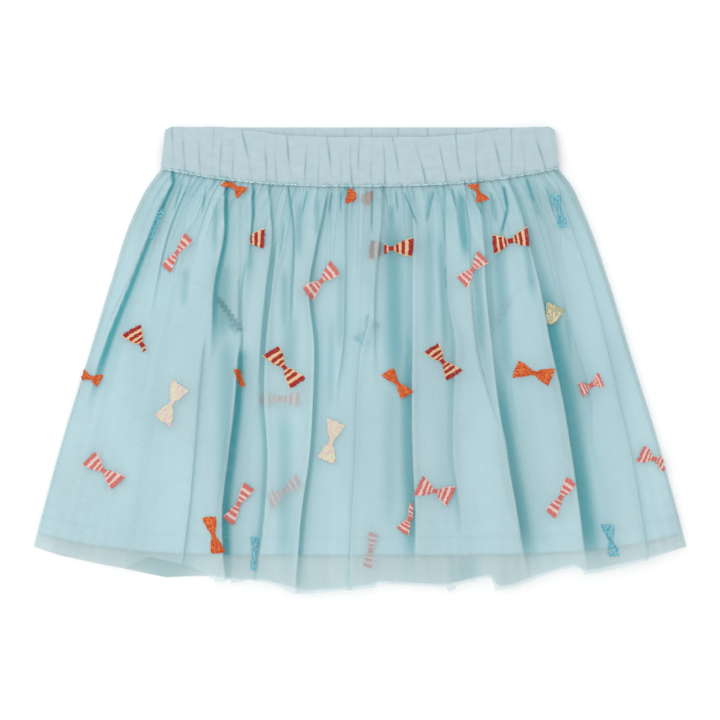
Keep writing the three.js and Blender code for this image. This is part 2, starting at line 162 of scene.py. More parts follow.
FOLDS = (
    Fold(1, (-119.0, -132.6, -146.8, -160.8, -171.5, -180.5, -188.0, -194.0),
         3, 10, 5, 4.6, 6.0, 0.86, 122, -14),
    Fold(1, (-108.5, -121.0, -129.1, -136.0, -143.0, -148.0, -152.0, -156.0),
         1, 8, 5, 2.2, 1.6, 0.50, 110, 40),
    Fold(-1, (-104.0, -112.0, -118.0, -124.0, -130.0, -136.0, -142.0, -150.0),
         0, 11, 12, 2.4, 0, 0.0, 100, -200),
    Fold(1, (-85.4, -86.0, -92.2, -94.0, -98.0, -103.0, -108.0, -114.0),
         2.5, 12, 5, 4.2, 7.0, 0.66, 118, 14),
    Fold(1, (-90.0, -94.0, -97.0, -98.6, -101.9, -104.6, -108.0, -114.0),
         0, 10, 10, 2.8, 1.5, 0.22, 20, -200),
    Fold(1, (-68.4, -68.8, -72.0, -75.0, -78.0, -80.0, -82.0, -84.0),
         1, 8, 4, 3.0, 3.0, 0.66, 116, 54),
    Fold(-1, (-66.0, -67.5, -74.0, -73.6, -73.4, -76.0, -80.0, -82.0),
         1, 9, 5, 3.4, 3.4, 0.34, 76, -10),
    Fold(1, (-68.0, -68.8, -75.0, -76.4, -78.7, -82.7, -86.7, -85.5),
         4, 14, 5, 7.4, 7.0, 0.84, 8, -138),
    Fold(1, (-58.2, -55.7, -59.4, -62.4, -65.5, -67.0, -68.0, -69.0),
         2, 8, 4, 4.4, 3.8, 0.42, 112, -10),
    Fold(-1, (-52.0, -52.4, -56.0, -59.4, -60.5, -58.5, -60.4, -65.5),
         3, 12, 5, 4.6, 4.4, 0.40, 74, -142),
    Fold(-1, (-45.5, -41.4, -42.4, -43.5, -45.0, -47.0, -50.0, -52.0),
         1, 8, 6, 3.0, 3.2, 0.45, 114, 20),
    Fold(1, (-19.0, -26.0, -32.0, -28.8, -29.5, -31.7, -36.6, -40.5),
         4, 14, 5, 6.6, 4.2, 0.50, 104, -150),
    Fold(1, (-8.9, -9.5, -9.5, -10.6, -15.6, -18.0, -20.0, -22.0),
         2, 8, 6, 3.0, 2.0, 0.22, 114, -24),
    Fold(-1, (3.0, 2.0, 1.0, 0.0, -2.0, -3.0, -5.0, -7.0),
         0, 12, 12, 2.2, 1.5, 0.12, 106, -200),
    Fold(1, (14.0, 13.0, 9.4, 8.6, 8.2, 8.0, 8.0, 8.0),
         3, 9, 6, 3.6, 2.6, 0.30, 112, 0),
    Fold(-1, (33.0, 33.0, 32.9, 32.9, 32.5, 33.0, 34.7, 34.4),
         4, 14, 5, 7.0, 8.5, 0.60, 106, -122, 5),
    Fold(-1, (53.6, 53.8, 54.4, 59.4, 58.6, 58.5, 63.1, 66.0),
         3, 10, 6, 4.6, 5.0, 0.24, 116, -105),
    Fold(1, (66.0, 68.7, 70.5, 73.6, 81.5, 92.0, 98.0, 104.0),
         1, 9, 6, 2.6, 1.6, 0.24, 114, -46),
    Fold(1, (73.0, 77.6, 79.3, 82.8, 86.8, 92.4, 98.8, 105.5),
         5, 15, 5, 7.4, 10.5, 0.68, 110, -122, -15),
    Fold(1, (94.3, 104.3, 113.5, 119.8, 127.5, 133.2, 138.2, 143.8),
         4, 15, 5, 7.4, 14.0, 0.72, 114, -124, 40),
    Fold(-1, (110.4, 118.6, 126.8, 135.4, 143.5, 150.0, 156.0, 162.0),
         1, 10, 5, 3.4, 0, 0.0, 118, -50),
    Fold(1, (124.0, 135.0, 146.0, 155.0, 163.0, 171.0, 177.0, 183.0),
         0, 11, 11, 2.6, 1.5, 0.14, 112, -200),
)

# Troughs with painted shade: x and y of the upper end, x and y of the lower end, half width, depth of
# the painted shade
TROUGHS = (
    (-12.0, 66, -13.0, 0, 5.0, 0.22),
    (43.0, 94, 44.0, -4, 6.0, 0.30), (72.4, 76, 77.0, -8, 4.5, 0.42),
    (-109.0, 60, -112.0, 30, 4.0, 0.28), (84.0, 104, 86.0, 84, 3.0, 0.28),
    (-44.0, 30, -44.0, -10, 8.0, 0.28), (-18.0, 30, -19.0, -40, 4.0, 0.20),
    (-93.0, 38, -75.5, 13, 4.5, 0.45), (-84.0, 26, -85.0, -120, 9.5, 0.34),
    (50.5, 86, 55.0, -8, 4.0, 0.40), (53.4, 62, 54.6, 40, 1.6, 0.55),
    (-68.0, 84, -70.0, 50, 4.0, 0.36), (-86.5, 68, -88.0, 4, 9.5, 0.46),
    (-91.0, 102, -92.0, 62, 3.0, 0.30), (-47.5, -24, -47.5, -150, 9.0, 0.30),
    (-47.5, 60, -47.5, 12, 4.0, 0.32), (-38.0, 104, -39.0, 60, 4.0, 0.32),
    (-27.0, 106, -27.0, 72, 3.0, 0.34), (20.0, 98, 24.0, -34, 11.0, 0.50),
    (20.0, 100, 20.0, 70, 3.5, 0.40), (20.0, -8, 19.0, -120, 9.0, 0.20),
    (63.0, 110, 68.0, 58, 5.5, 0.60), (94.0, -10, 101.0, -60, 2.6, 0.30),
    (86.0, 88, 94.0, -36, 8.0, 0.36), (44.0, 108, 42.0, 84, 2.5, 0.36),
    (104.0, 80, 110.0, 34, 4.0, 0.36), (130.0, 30, 134.0, -6, 3.5, 0.36),
    (92.0, -30, 102.0, -76, 3.5, 0.30), (104.0, 116, 116.0, 84, 3.5, 0.36),
    (27.2, 108, 37.6, 82, 1.0, 0.75), (47.0, 109, 41.0, 83, 1.0, 0.75),
    (64.0, 90, 69.0, 68, 1.6, 0.55), (70.3, 107, 78.8, 88, 0.9, 0.70),
    (90.5, 112, 93.8, 92, 1.6, 0.90), (93.8, 98, 88.4, 76, 1.6, 0.80),
    (7.6, 110, 7.4, 78, 0.9, 0.65), (-48.0, 88, -50.8, 62, 0.9, 0.45),
    (-85.0, 114, -85.2, 84, 1.1, 0.85), (-66.8, 112, -67.4, 82, 1.1, 0.80),
    (105.0, 116, 111.0, 96, 1.3, 0.85), (-122.0, 106, -133.0, 80, 1.8, 0.60),
    (22.6, 108, 24.0, 92, 1.0, 0.60), (58.0, 110, 61.0, 94, 1.1, 0.60),
    (82.5, 108, 84.5, 88, 1.1, 0.45), (-33.0, 109, -37.5, 88, 1.1, 0.60),
    (-17.5, 108, -20.0, 90, 1.0, 0.60), (-12.0, 108, -12.5, 92, 1.0, 0.50),
    (-97.0, 112, -100.0, 90, 1.1, 0.50), (-112.0, 114, -118.0, 92, 1.1, 0.55),
    (117.0, 112, 124.0, 88, 1.2, 0.55),
)
TROUGH_DEEP = 1.2        # how far the deepest trough sinks
TROUGH_STARTS = 5.0      # how fast its painted shade comes in at its upper end
TROUGH_ENDS = 3.0        # and goes at its lower end

# How the folds grow and fan out from the seam
MAIN_HIGH = 6.0          # folds from this height on are laid first
LOW_START = 100.0        # folds with a top above this height start in the waist seam
FOLD_GROWS = 40.0        # length over which a fold grows that starts lower down
FOLD_FADE = 80.0         # length over which a fold dies away
FAN_TOP = SEAM_MIDDLE + 4.0  # height y at which the folds start to fan out
FOLD_OPENS = 130.0       # length over which they fan out
FOLD_AT_SEAM = 0.20      # share of its width that a fold has at the seam
HIGH_AT_SEAM = 0.25      # share of its height that it has there
TUCK_LEAN = 0.95         # share of the tuck that the crest leans over

# Painted shade of the valleys
TONE_GAIN = 1.22         # scale of the valleys' and troughs' painted shade
VALLEY_AT_SEAM = 0.3     # share of its width that a valley has at the seam
VALLEY_LEAD = 4.0        # how far above its fold's top the painted shade starts
VALLEY_GROWS = 10.0      # length over which it comes in
VALLEY_FADE = 40.0       # length over which it goes at the fold's end
VALLEY_EDGE = 0.6        # width over which it starts at the fold's edge
VALLEY_CORE = 0.35       # share of the width that is darkest
HAZE_WIDTH = 2.6         # width of the haze beside a valley, as a share of the valley's
HAZE_SHARE = 0.32        # share of the painted shade that the haze has
DEEPER_AT_SEAM = 0.35    # added share of a valley's painted shade at the seam
SHALLOW_SHARE = 0.35     # share of the depth that a valley has above deep_below
DEEP_GROWS = 50.0        # length over which it gets there
COVER_LIGHT = 0.85       # share of the valleys' painted shade that a covering fold keeps off
LINING_SHARE = 0.85      # share of the net's painted shade that the linings and pockets show

# Fine gathers that the waist seam holds
GATHERS = 58
GATHER_HEIGHT = 1.3
GATHER_LEAN = 1.1        # how far each leans over sideways
GATHER_REACH = 0.20      # how far down they reach, as a share of the length
WEDGES = 76              # wedges of painted shade between the gathers
GATHER_SHADE = 0.80       # depth of their painted shade
SEAM_TONE = 0.20         # deeper colour where the gathers crowd at the seam: denser net, and painted shade among the gathers
SEAM_TUCK = 1.6          # how far the net runs into the waistband's seam
SEAM_TUCK_SHARE = 0.006  # share of the net's length that does so
SEAM_THREADS = 190       # places for a loose thread along the seam

# Silky streaks down the net
STREAK_WAVES = 12
STREAK_HEIGHT = 0.28
STREAK_TONE = 0.055
STREAK_TONE_AT_SEAM = 0.20

# Slow changes of the net's colour. From and grows are shares of the length.
SEAM_TONE_REACH = 0.24
SIDE_TONE = 0.22         # deeper along the side folds
SIDE_TONE_WIDTH = 6.0
HEM_TONE = 0.06          # deeper at the hem
HEM_TONE_FROM = 0.93
HEM_TONE_GROWS = 0.05
LOWER_LIGHT = 0.06       # paler from the middle down
LOWER_LIGHT_FROM = 0.45
LOWER_LIGHT_GROWS = 0.3
EDGE_LIGHT = 0.32        # strength of the painted highlight along each fold's edge
EDGE_LINE_INSET = 1.0
EDGE_LINE_HALF = 0.9

# Net grids, and the back net's ripples
NET_COLUMNS = 690
NET_ROWS = 130
NET_CROWDING = 1.1       # above 1, the rows are closer at the seam
BACK_COLUMNS = 360
BACK_ROWS = 90
BACK_RIPPLES = 26
BACK_RIPPLE_HEIGHT = 0.5
BACK_RIPPLE_CALM = 12.0  # width along the side folds in which they die away
BACK_GATHER_SHADE = 0.7
HEM_SHADE_FROM = 0.93    # share of the length at which the back net's shades start
HEM_SHADE_GROWS = 0.03

# Creases of the front waistband: x at its top, x at the seam, depth, half width
BAND_CREASES = (
    (-118.4, -118.4, 0.7, 2.2), (-111.4, -111.4, 0.9, 2.4), (-101.3, -101.3, 0.7, 3.0),
    (-93.0, -92.5, 0.4, 2.0), (-88.0, -88.0, 0.8, 2.6), (-80.4, -80.4, 0.6, 2.2),
    (-74.1, -68.4, 1.2, 2.2), (-59.5, -59.5, 1.0, 2.4), (-53.2, -53.2, 0.6, 1.8),
    (-46.8, -42.4, 1.2, 2.4), (-34.2, -34.2, 0.9, 2.6), (-27.0, -26.0, 0.5, 2.0),
    (-20.3, -18.4, 1.2, 2.4), (-12.0, -12.5, 0.4, 2.0), (-5.7, -5.7, 0.9, 2.0),
    (-0.6, -0.6, 0.8, 1.8), (6.5, 7.5, 0.5, 2.4), (13.9, 16.5, 1.1, 2.4),
    (20.9, 25.3, 1.0, 2.2), (34.2, 41.8, 1.3, 2.4), (50.0, 54.4, 1.2, 2.4),
    (60.1, 64.6, 1.1, 2.2), (72.8, 74.7, 0.9, 2.4), (82.3, 91.2, 1.6, 2.6),
    (95.6, 95.6, 0.8, 2.2), (102.0, 104.0, 0.4, 2.0), (110.1, 117.1, 1.6, 2.6),
)

CREASE_DEPTH = 0.42      # scale of all the creases
CREASE_LINE = 0.75       # half width of the line of painted shade in each

# Grid of each waistband
BAND_COLUMNS = 720
BAND_ROWS = 28           # on each of its two faces

# Finer creases inside the back waistband: x, depth, half width
BACK_CREASES = (
    (-112, 0.3, 2.5), (-103, 0.4, 2.2), (-95, 0.3, 2.0), (-86, 0.5, 2.2), (-77, 0.3, 2.0),
    (-69, 0.5, 2.0), (-62, 0.4, 1.8), (-56.3, 0.7, 1.7), (-51.9, 0.6, 1.5), (-48.7, 0.4, 1.2),
    (-44.3, 0.7, 1.7), (-35.4, 0.8, 2.0), (-28, 0.4, 1.8), (-22, 0.5, 1.8), (-15.2, 0.8, 2.0),
    (-9.5, 0.7, 1.8), (-5.1, 0.6, 1.6), (-1.3, 0.6, 1.6), (7.6, 0.7, 1.7), (10.8, 0.6, 1.4),
    (19.0, 0.8, 2.0), (24.1, 0.6, 1.7), (30, 0.4, 1.8), (37.3, 0.8, 2.0), (43.0, 0.7, 1.8),
    (50.0, 0.7, 1.8), (53.8, 0.6, 1.5), (61, 0.5, 2.0), (69, 0.4, 2.0), (78, 0.5, 2.2),
    (87, 0.4, 2.0), (96, 0.4, 2.2), (106, 0.3, 2.4), (114, 0.3, 2.0),
)

# Materials: pitch of the net's mesh, of the weave of the jersey and of the band's cotton
NET_CELL = 1.15
JERSEY_PITCH = 0.5
COTTON_PITCH = 0.55
NET_ALPHA = 0.42

# Colours in sRGB, 0 to 255
NET_LIGHT = (199, 230, 235)
# painted highlight along the folds' edges
NET_EDGE_HIGHLIGHT = (236, 250, 250)
# the back net's colour: a greyer, darker copy of the net's, as painted shade under the front net
BACK_NET_SHADED = (191, 213, 216)
# deeper net colour: painted shade in the valleys, troughs and gathers, and the deeper tones at the
# seam, sides and hem
NET_DEEP_AND_SHADE = (0, 160, 167)
LINING_LIGHT = (205, 231, 238)
# painted shade of the linings and pockets under the net's valleys and troughs
LINING_SHADE_COLOUR = (0, 164, 175)
BAND_COLOUR = (185, 206, 212)
# painted shade in the waistband's creases
BAND_CREASE_SHADE = (138, 172, 183)
STITCH_COLOUR = (200, 234, 240)
OVERLOCK_COLOUR = (0, 138, 142)
FLOOR_COLOUR = (246, 246, 246)

# Bow kinds: main thread, second thread, stripes a wing. The kinds with STRIPED stripes have a thin
# light border; the others are flecked with their second thread.
BOW_KINDS = dict(
    red=("thread_red", "thread_cream", 6),
    coral=("thread_coral", "thread_pale", 6),
    veiled=("thread_rose", "thread_pale", 6),
    orange=("thread_rust", "thread_orange", 9),
    cream=("thread_butter", "thread_lilac", 8),
    dull=("thread_straw", "thread_butter", 8),
    blue=("thread_blue", "thread_aqua", 8),
)
THREAD_COLOURS = dict(
    thread_red=(172, 22, 18),
    thread_cream=(242, 206, 160),
    thread_coral=(224, 116, 106),
    thread_pale=(242, 214, 208),
    thread_rose=(214, 160, 156),
    thread_orange=(242, 126, 52),
    thread_rust=(212, 76, 16),
    thread_butter=(238, 232, 196),
    thread_lilac=(234, 206, 210),
    thread_blue=(66, 174, 200),
    thread_aqua=(150, 214, 224),
    thread_straw=(198, 188, 148),
)


class Bow(NamedTuple):
    """An embroidered bow: its middle, its size, its angle in degrees, its kind and where it lies.

    It lies on the net's face or under it. One that is cut lies on the face on one side of its cut and
    under it on the other, and the half of one that is halved is hidden in a fold.
    """

    x: float
    y: float
    length: float
    width: float
    turn: float
    kind: str
    lies: str = "face"       # face, under, cut or half
    keep: int = 0            # 1 where the part right of the cut is on the face, -1 for the left one
    cut: float = 0.0         # x of the cut
    low: float = -math.inf   # height y below which the bow is hidden


BOWS = (
    Bow(-79.4, 109.4, 13.0, 9.5, -38, "orange"),
    Bow(-0.6, 102.8, 15.0, 11.0, -8, "orange", "cut", keep=-1, cut=0.0),
    Bow(-115.2, 67.7, 24.2, 7.4, 54, "coral"),
    Bow(-72.0, 76.0, 23.0, 12.8, 4, "red", "half", keep=1, cut=-69.6),
    Bow(-24.4, 49.8, 24.0, 10.8, 43, "coral"),
    Bow(-137.4, 9.6, 23.6, 14.4, -52, "red", "half", keep=-1, cut=-134.4, low=4.2),
    Bow(-47.6, -4.6, 26.5, 12.4, -50, "red"),
    Bow(-170.4, -11.1, 13.4, 8.6, -18, "orange"),
    Bow(-118.7, -27.2, 25.1, 12.6, 64, "cream"),
    Bow(-75.8, -11.2, 10.8, 3.8, -70, "orange"),
    Bow(-50.4, -24.6, 24.6, 8.6, 2, "veiled", "under"),
    Bow(-18.2, -51.2, 25.0, 12.0, 76, "cream"),
    Bow(-162.0, -69.9, 24.2, 12.6, -40, "coral"),
    Bow(-92.2, -110.1, 23.2, 9.4, -76, "orange"),
    Bow(-76.6, -90.8, 25.5, 8.6, 60, "coral"),
    Bow(-66.8, -122.5, 20.5, 5.2, 88, "blue"),
    Bow(-47.8, -82.6, 23.2, 10.5, 34, "veiled", "under"),
    Bow(6.6, -120.2, 21.4, 6.4, 80, "coral", "under"),
    Bow(-128.4, 86.2, 19.0, 4.6, 66, "blue"),
    Bow(19.8, 70.2, 27, 12.6, 4, "red", "cut", keep=1, cut=14.6),
    Bow(95.0, 75.2, 22.3, 12.4, 13, "red"),
    Bow(70.9, 57.0, 20.5, 10.0, 50, "coral"),
    Bow(74.2, 106.4, 13.5, 9.0, -64, "orange"),
    Bow(125.4, 94.3, 21.8, 7.6, -74, "blue"),
    Bow(118.8, 21.2, 27.0, 12.6, 70, "dull", "half", keep=1, cut=116.4, low=21.6),
    Bow(52.2, -1.0, 22.5, 11.4, -50, "red"),
    Bow(23.6, -14.8, 19.5, 9.0, -50, "orange"),
    Bow(109.2, -8.2, 22.8, 11.5, -13, "orange"),
    Bow(145.4, -15.8, 13.8, 10.2, 28, "coral"),
    Bow(47.2, -82.6, 22.0, 14.0, -18, "coral"),
    Bow(31.2, -100.4, 18.0, 9.0, 62, "coral", "half", keep=-1, cut=34.0),
    Bow(126.4, -86.6, 24.4, 8.4, 60, "coral"),
    Bow(158.4, -113.9, 20.0, 8.2, 102, "blue"),
    Bow(185.8, -62.4, 18.2, 12.6, -20, "coral"),
    Bow(4.4, 18.0, 16.7, 11.5, 60, "blue", "under"),
)
STRIPED = 6              # stripes a wing in the striped kinds
FLECKED = 0.36           # share of the second thread in a bow without stripes
BORDER_BROKEN = 0.3      # share of a striped bow's border that keeps the first thread
WORN = 0.28              # share of a blue bow where its thread is missing
BOW_PINCH_LENGTH = 3.6
BOW_PINCH_WIDTH = 3.0
BOW_ROWS = 18
BOW_FLARE = 0.62         # below 1, the wings widen fastest near the pinch
BOW_SLANT = 0.14
BOW_BULGE = 0.35
BOW_JAG = 0.75           # how jagged the stripes' edges are
BOW_LIFT = 0.3           # height above the net
BOW_CROWN = 0.35         # added in the middle of the bow's width
BOW_STIFF = 10           # rounds of smoothing with which a bow spans the dips under it
BACK_BOW_PLACE = (0.9, 0.85, -4.0)  # the unseen bows lie at these shares of x and y, moved in y
BACK_BOW_LOW = -97.0     # no bow on the underside lies below this height
BACK_BOW_RAISED = -0.25  # they lie close under the back net

# Frilled edge in the seam, and the grains that are the stitches
SEAM_EDGE_COLUMNS = 640
FRILLS = 230
SEAM_EDGE_ROWS = (0.0, 0.4, 0.75, 1.0)
STITCH_RINGS = ((-0.5, 0.35), (-0.25, 0.95), (0.25, 0.95), (0.5, 0.35))  # share of length, of width
STITCH_SIDES = 6
STITCH_FLAT = 0.7        # height of a stitch as a share of its width

# Camera and light
CAMERA_LENS = 100.0
CAMERA_SENSOR = 36.0
CAMERA_WIDTH = 455.8       # width of the view at the skirt
CAMERA_AIM_LEVEL = 4.0
WORLD_LIGHT = 0.82
KEY_POWER = 6.6
KEY_SIZE = 1300.0
KEY_PLACE = (-450.0, 380.0, 1250.0)
FLOOR_SIZE = 12000.0
FLOOR_LEVEL = -0.3
FLOOR_GLOW = 0.08


def linear(colour):
    """sRGB 0 to 255 as linear RGBA."""
    share = [value / 255 for value in colour]
    return [s / 12.92 if s <= 0.04045 else ((s + 0.055) / 1.055) ** 2.4 for s in share] + [1.0]


def ease(share):
    """A smooth step: 0 up to a share of 0, and 1 from a share of 1 on."""
    t = np.clip(share, 0, 1)
    return t * t * (3 - 2 * t)


def uneven(index):
    """A fixed, uneven number from 0 to 1 for each index."""
    wave = np.sin(np.asarray(index, float) * 12.9898 + 4.1) * 43758.5453
    return wave - np.floor(wave)


def ridge(distance, half):
    """A smooth ridge: 1 in its middle, and 0 from the half width on."""
    return np.cos(np.clip(distance / half, -1, 1) * math.pi / 2) ** 2


def smooth(keys, values, at):
    """Value at a place between rising keys, on a smooth curve through them."""
    keys = np.asarray(keys, float)
    values = np.asarray(values, float)
    slopes = np.gradient(values, keys)
    at = np.clip(at, keys[0], keys[-1])
    i = np.clip(np.searchsorted(keys, at) - 1, 0, len(keys) - 2)
    span = keys[i + 1] - keys[i]
    t = (at - keys[i]) / span
    rise = values[i + 1] - values[i]
    hermite = (1 - t) * (slopes[i] * span - rise) - t * (slopes[i + 1] * span - rise)
    return values[i] + rise * t + t * (1 - t) * hermite


def column(rows, place):
    return [row[place] for row in rows]


def grid(columns, rows, crowding=1.0):
    """Shares across and down of the points of a grid. Crowding above 1 has closer rows at the top."""
    return np.meshgrid(np.linspace(0, 1, columns + 1), np.linspace(0, 1, rows + 1) ** crowding)


def seam_y(x):
    from_middle = np.minimum(np.abs(x) / WAIST_HALF, 1)
    return SEAM_SIDE - SEAM_SAG * (1 - from_middle ** SEAM_CURVE)


def side_x(down, side):
    return smooth(column(SIDES, 0), column(SIDES, side), down)


def foot_x(across):
    """X at the hem of a net panel before its folds."""
    _, left, right = SIDES[-1]
    return left + (right - left) * across


def panel_place(across, down, hem):
    """Place on a net panel before its folds, and the distance from the nearer side fold."""
    left = side_x(down, 1)
    right = side_x(down, 2)
    top = seam_y((2 * across - 1) * WAIST_HALF) - SEAM_GAP
    bottom = np.interp(foot_x(across), column(hem, 0), column(hem, 1))
    x = left + (right - left) * across
    y = top + (bottom - top) * down
    return x, y, (right - left) * np.minimum(across, 1 - across)


def fold_edge(fold, y):
    return smooth(FOLD_Y[::-1], fold.edge[::-1], y)


def fold_strength(fold, y):
    """How much of the fold there is at this height, from 0 to 1."""
    starts_at_seam = fold.top > LOW_START
    start = 1.0 if starts_at_seam else ease((fold.top + FOLD_GROWS / 2 - y) / FOLD_GROWS)
    return start * ease((y - fold.end + FOLD_FADE / 2) / FOLD_FADE)


def fold_opening(y):
    """Width of a fold as a share of its full width: folds fan out from the seam."""
    return FOLD_AT_SEAM + (1 - FOLD_AT_SEAM) * ease((FAN_TOP - y) / FOLD_OPENS)


def fold_reach(fold):
    """How far the fold moves its crest sideways, and how far its edge lies past the crest."""
    lean = fold.over + TUCK_LEAN * fold.tuck
    turn = fold.tuck / math.pi * math.asin(min(1, 2 * fold.tuck / (math.pi * lean)))
    return lean, turn + lean * math.cos(math.pi * turn / (2 * fold.tuck)) ** 2


def fold_profile(fold, x, y):
    """Height of the fold from 0 to 1 at a place, and its distance past the crest."""
    lean, past = fold_reach(fold)
    opening = fold_opening(y)
    strength = fold_strength(fold, y)
    crest = fold_edge(fold, y) - fold.covers * past * opening * strength ** 2
    off = fold.covers * (x - crest)
    width = np.where(off < 0, fold.wide, fold.tuck) * opening
    return ridge(off, width) * strength, off, lean * opening * strength


def apply_folds(x, y, z, calm):
    """Moves the net's points into its folds. Calm is 0 at the side folds and 1 inside."""
    moved_x = x.copy()
    for fold in sorted(FOLDS, key=lambda fold: fold.high < MAIN_HIGH):
        bump, _, lean = fold_profile(fold, moved_x, y)
        moved_x = moved_x + fold.covers * lean * bump * calm
        share = HIGH_AT_SEAM + (1 - HIGH_AT_SEAM) * fold_opening(y)
        z = z + fold.high * share * bump * calm
    return moved_x, z


def valley_shade(x, y):
    """Painted shade of the valleys at a place, from 0 to 1."""
    tone = np.zeros_like(x)
    opening = fold_opening(y)
    for fold in FOLDS:
        if fold.gap <= 0:
            continue
        past = fold.covers * (x - fold_edge(fold, y))
        gap = fold.gap * (VALLEY_AT_SEAM + (1 - VALLEY_AT_SEAM) * opening)
        grows = ease((fold.top + VALLEY_LEAD - y) / VALLEY_GROWS)
        grows = grows * ease((y - fold.end + VALLEY_FADE / 2) / VALLEY_FADE)
        core = 1 - ease((past - VALLEY_CORE * gap) / ((1 - VALLEY_CORE) * gap))
        haze = 1 - ease(past / (HAZE_WIDTH * gap))
        inside = ease((past + VALLEY_EDGE) / VALLEY_EDGE)
        inside = inside * ((1 - HAZE_SHARE) * core + HAZE_SHARE * haze)
        deep = fold.dark * (1 + DEEPER_AT_SEAM * (1 - opening))
        if fold.deep_below is not None:
            low = ease((fold.deep_below + DEEP_GROWS / 2 - y) / DEEP_GROWS)
            deep = deep * (SHALLOW_SHARE + (1 - SHALLOW_SHARE) * low)
        tone = np.maximum(tone, deep * grows * inside)
    return np.minimum(TONE_GAIN * tone, 1)


def trough_shade(x, y):
    """Painted shade of the troughs at a place, from 0 to 1."""
    tone = np.zeros_like(x)
    for top_x, top_y, low_x, low_y, half, deep in TROUGHS:
        share = (top_y - y) / (top_y - low_y)
        fade = ease(share * TROUGH_STARTS) * ease((1 - share) * TROUGH_ENDS)
        tone = np.maximum(tone, deep * fade * ridge(x - top_x - (low_x - top_x) * share, half))
    return np.minimum(TONE_GAIN * tone, 1)


def lining_shade(x, y):
    """Painted shade of the linings and pockets under the net's valleys and troughs."""
    return LINING_SHARE * np.maximum(valley_shade(x, y), trough_shade(x, y))


def edge_light(x, y):
    """The painted highlight along the edge of each fold, from 0 to 1."""
    light = np.zeros_like(x)
    for fold in FOLDS:
        if fold.gap > 0:
            past = fold.covers * (x - fold_edge(fold, y)) + EDGE_LINE_INSET
            line = ridge(past, EDGE_LINE_HALF)
            light = np.maximum(light, fold.dark * fold_strength(fold, y) * line)
    return light


def gather_bump(across, down):
    """Height of the fine gathers at the seam, each of its own height and length."""
    phase = across * GATHERS
    index = np.minimum(np.floor(phase), GATHERS - 1)
    reach = GATHER_REACH * (0.35 + 1.6 * uneven(index + GATHERS))
    fade = 1 - ease((down - 0.2 * reach) / reach)
    return (0.5 + 0.9 * uneven(index)) * fade * ridge(phase - index - 0.5, 0.5)


def gather_shade(across, down):
    """Thin wedges of painted shade between the gathers, deepest at the seam, each sharp on its left
    side.
    """
    phase = across * WEDGES
    tone = np.zeros_like(across)
    for step in (-1, 0):
        index = np.floor(phase) + step
        reach = GATHER_REACH * (0.22 + 1.5 * uneven(index + 3.3) ** 2)
        slant = 3.5 * (uneven(index + 5.9) - 0.5) * down / GATHER_REACH
        past = phase - index - 0.8 * uneven(index + 2.7) - slant
        width = (0.25 + 0.35 * uneven(index + 7.7)) * np.clip(1.15 - down / reach, 0.15, 1)
        wedge = ease(1 + past / 0.09) * (1 - ease(past / width))
        deep = 0.25 + 0.75 * uneven(index + 1.1)
        tone = np.maximum(tone, GATHER_SHADE * deep * wedge * (1 - ease(down / reach)))
    return tone


def streaks(across, down):
    """Silky streaks that run down the net, from about -1 to 1."""
    total = np.zeros_like(across)
    for k in range(STREAK_WAVES):
        cycles = 7 + 5.3 * k + 4 * float(uneven(k))
        drift = 1.3 * np.sin(2.4 * down + 6.3 * float(uneven(k + 31)))
        swell = 0.6 + 0.4 * np.sin(3.1 * down + 6.3 * float(uneven(k + 57)))
        start = 6.3 * float(uneven(k + 83))
        total += swell * np.sin(2 * math.pi * cycles * across + drift + start)
    return total / math.sqrt(STREAK_WAVES)


def front_net_height(down, from_side):
    """Height of the front net before its folds, and how far it has left its side folds, 0 to 1."""
    opened = ease(down / SIDE_ROLL_GROWS)
    roll_width = SIDE_ROLL_AT_SEAM + (SIDE_ROLL - SIDE_ROLL_AT_SEAM) * opened
    roll = np.clip(from_side / roll_width, 0, 1)
    rounded = np.sqrt(1 - (1 - roll) ** 2)
    risen = FRONT_SEAM_LEVEL + (FRONT_FLOOR - FRONT_SEAM_LEVEL) * ease(down / FRONT_RISE)
    middle = risen + (FRONT_HEM_FLOOR - FRONT_FLOOR) * ease((down - 0.5) * 2)
    return FRONT_EDGE_LEVEL + (middle - FRONT_EDGE_LEVEL) * rounded, rounded


def slow_tone(across, down, from_side, streak):
    """Slow changes of the net's colour: above 0 deeper, below 0 lighter; the seam's share is partly
    painted shade.
    """
    near_seam = 1 - ease(down / SEAM_TONE_REACH)
    inner = 1 - (2 * across - 1) ** 2
    tone = SEAM_TONE * near_seam + (STREAK_TONE + STREAK_TONE_AT_SEAM * near_seam) * streak
    tone = tone + SIDE_TONE * (1 - ease(from_side / SIDE_TONE_WIDTH))
    tone = tone + HEM_TONE * inner * ease((down - HEM_TONE_FROM) / HEM_TONE_GROWS)
    return tone - LOWER_LIGHT * (2 - inner) * ease((down - LOWER_LIGHT_FROM) / LOWER_LIGHT_GROWS)


def front_net_points():
    """Points of the folded front net, and the depth of colour at each: painted shade and a painted
    highlight at the folds, and slower changes.
    """
    across, down = grid(NET_COLUMNS, NET_ROWS, NET_CROWDING)
    x, y, from_side = panel_place(across, down, FRONT_HEM)
    z, rounded = front_net_height(down, from_side)
    calm = ease(from_side / CALM_WIDTH)
    bump = gather_bump(across, down)
    moved_x, z = apply_folds(x, y, z, calm)
    moved_x = moved_x + GATHER_LEAN * bump * calm
    hem_x = column(FRONT_HEM, 0)
    hem_y = column(FRONT_HEM, 1)
    hem_shift = np.interp(moved_x[-1], hem_x, hem_y) - np.interp(foot_x(across), hem_x, hem_y)
    y = y + hem_shift * down ** 3
    streak = streaks(across, down)
    z = z + (GATHER_HEIGHT * bump + STREAK_HEIGHT * streak * ease(down * 12)) * rounded
    trough = trough_shade(moved_x, y) * calm
    z = z - TROUGH_DEEP * trough
    valleys = valley_shade(moved_x, y) * (1 - top_of_fold(x, y))
    tone = np.maximum(np.maximum(valleys, gather_shade(across, down)), trough)
    tone = tone + slow_tone(across, down, from_side, streak)
    tone = tone - EDGE_LIGHT * edge_light(moved_x, y) * calm
    y = y + SEAM_TUCK * ease(1 - down / SEAM_TUCK_SHARE)
    return np.stack([moved_x, y, z], -1), tone


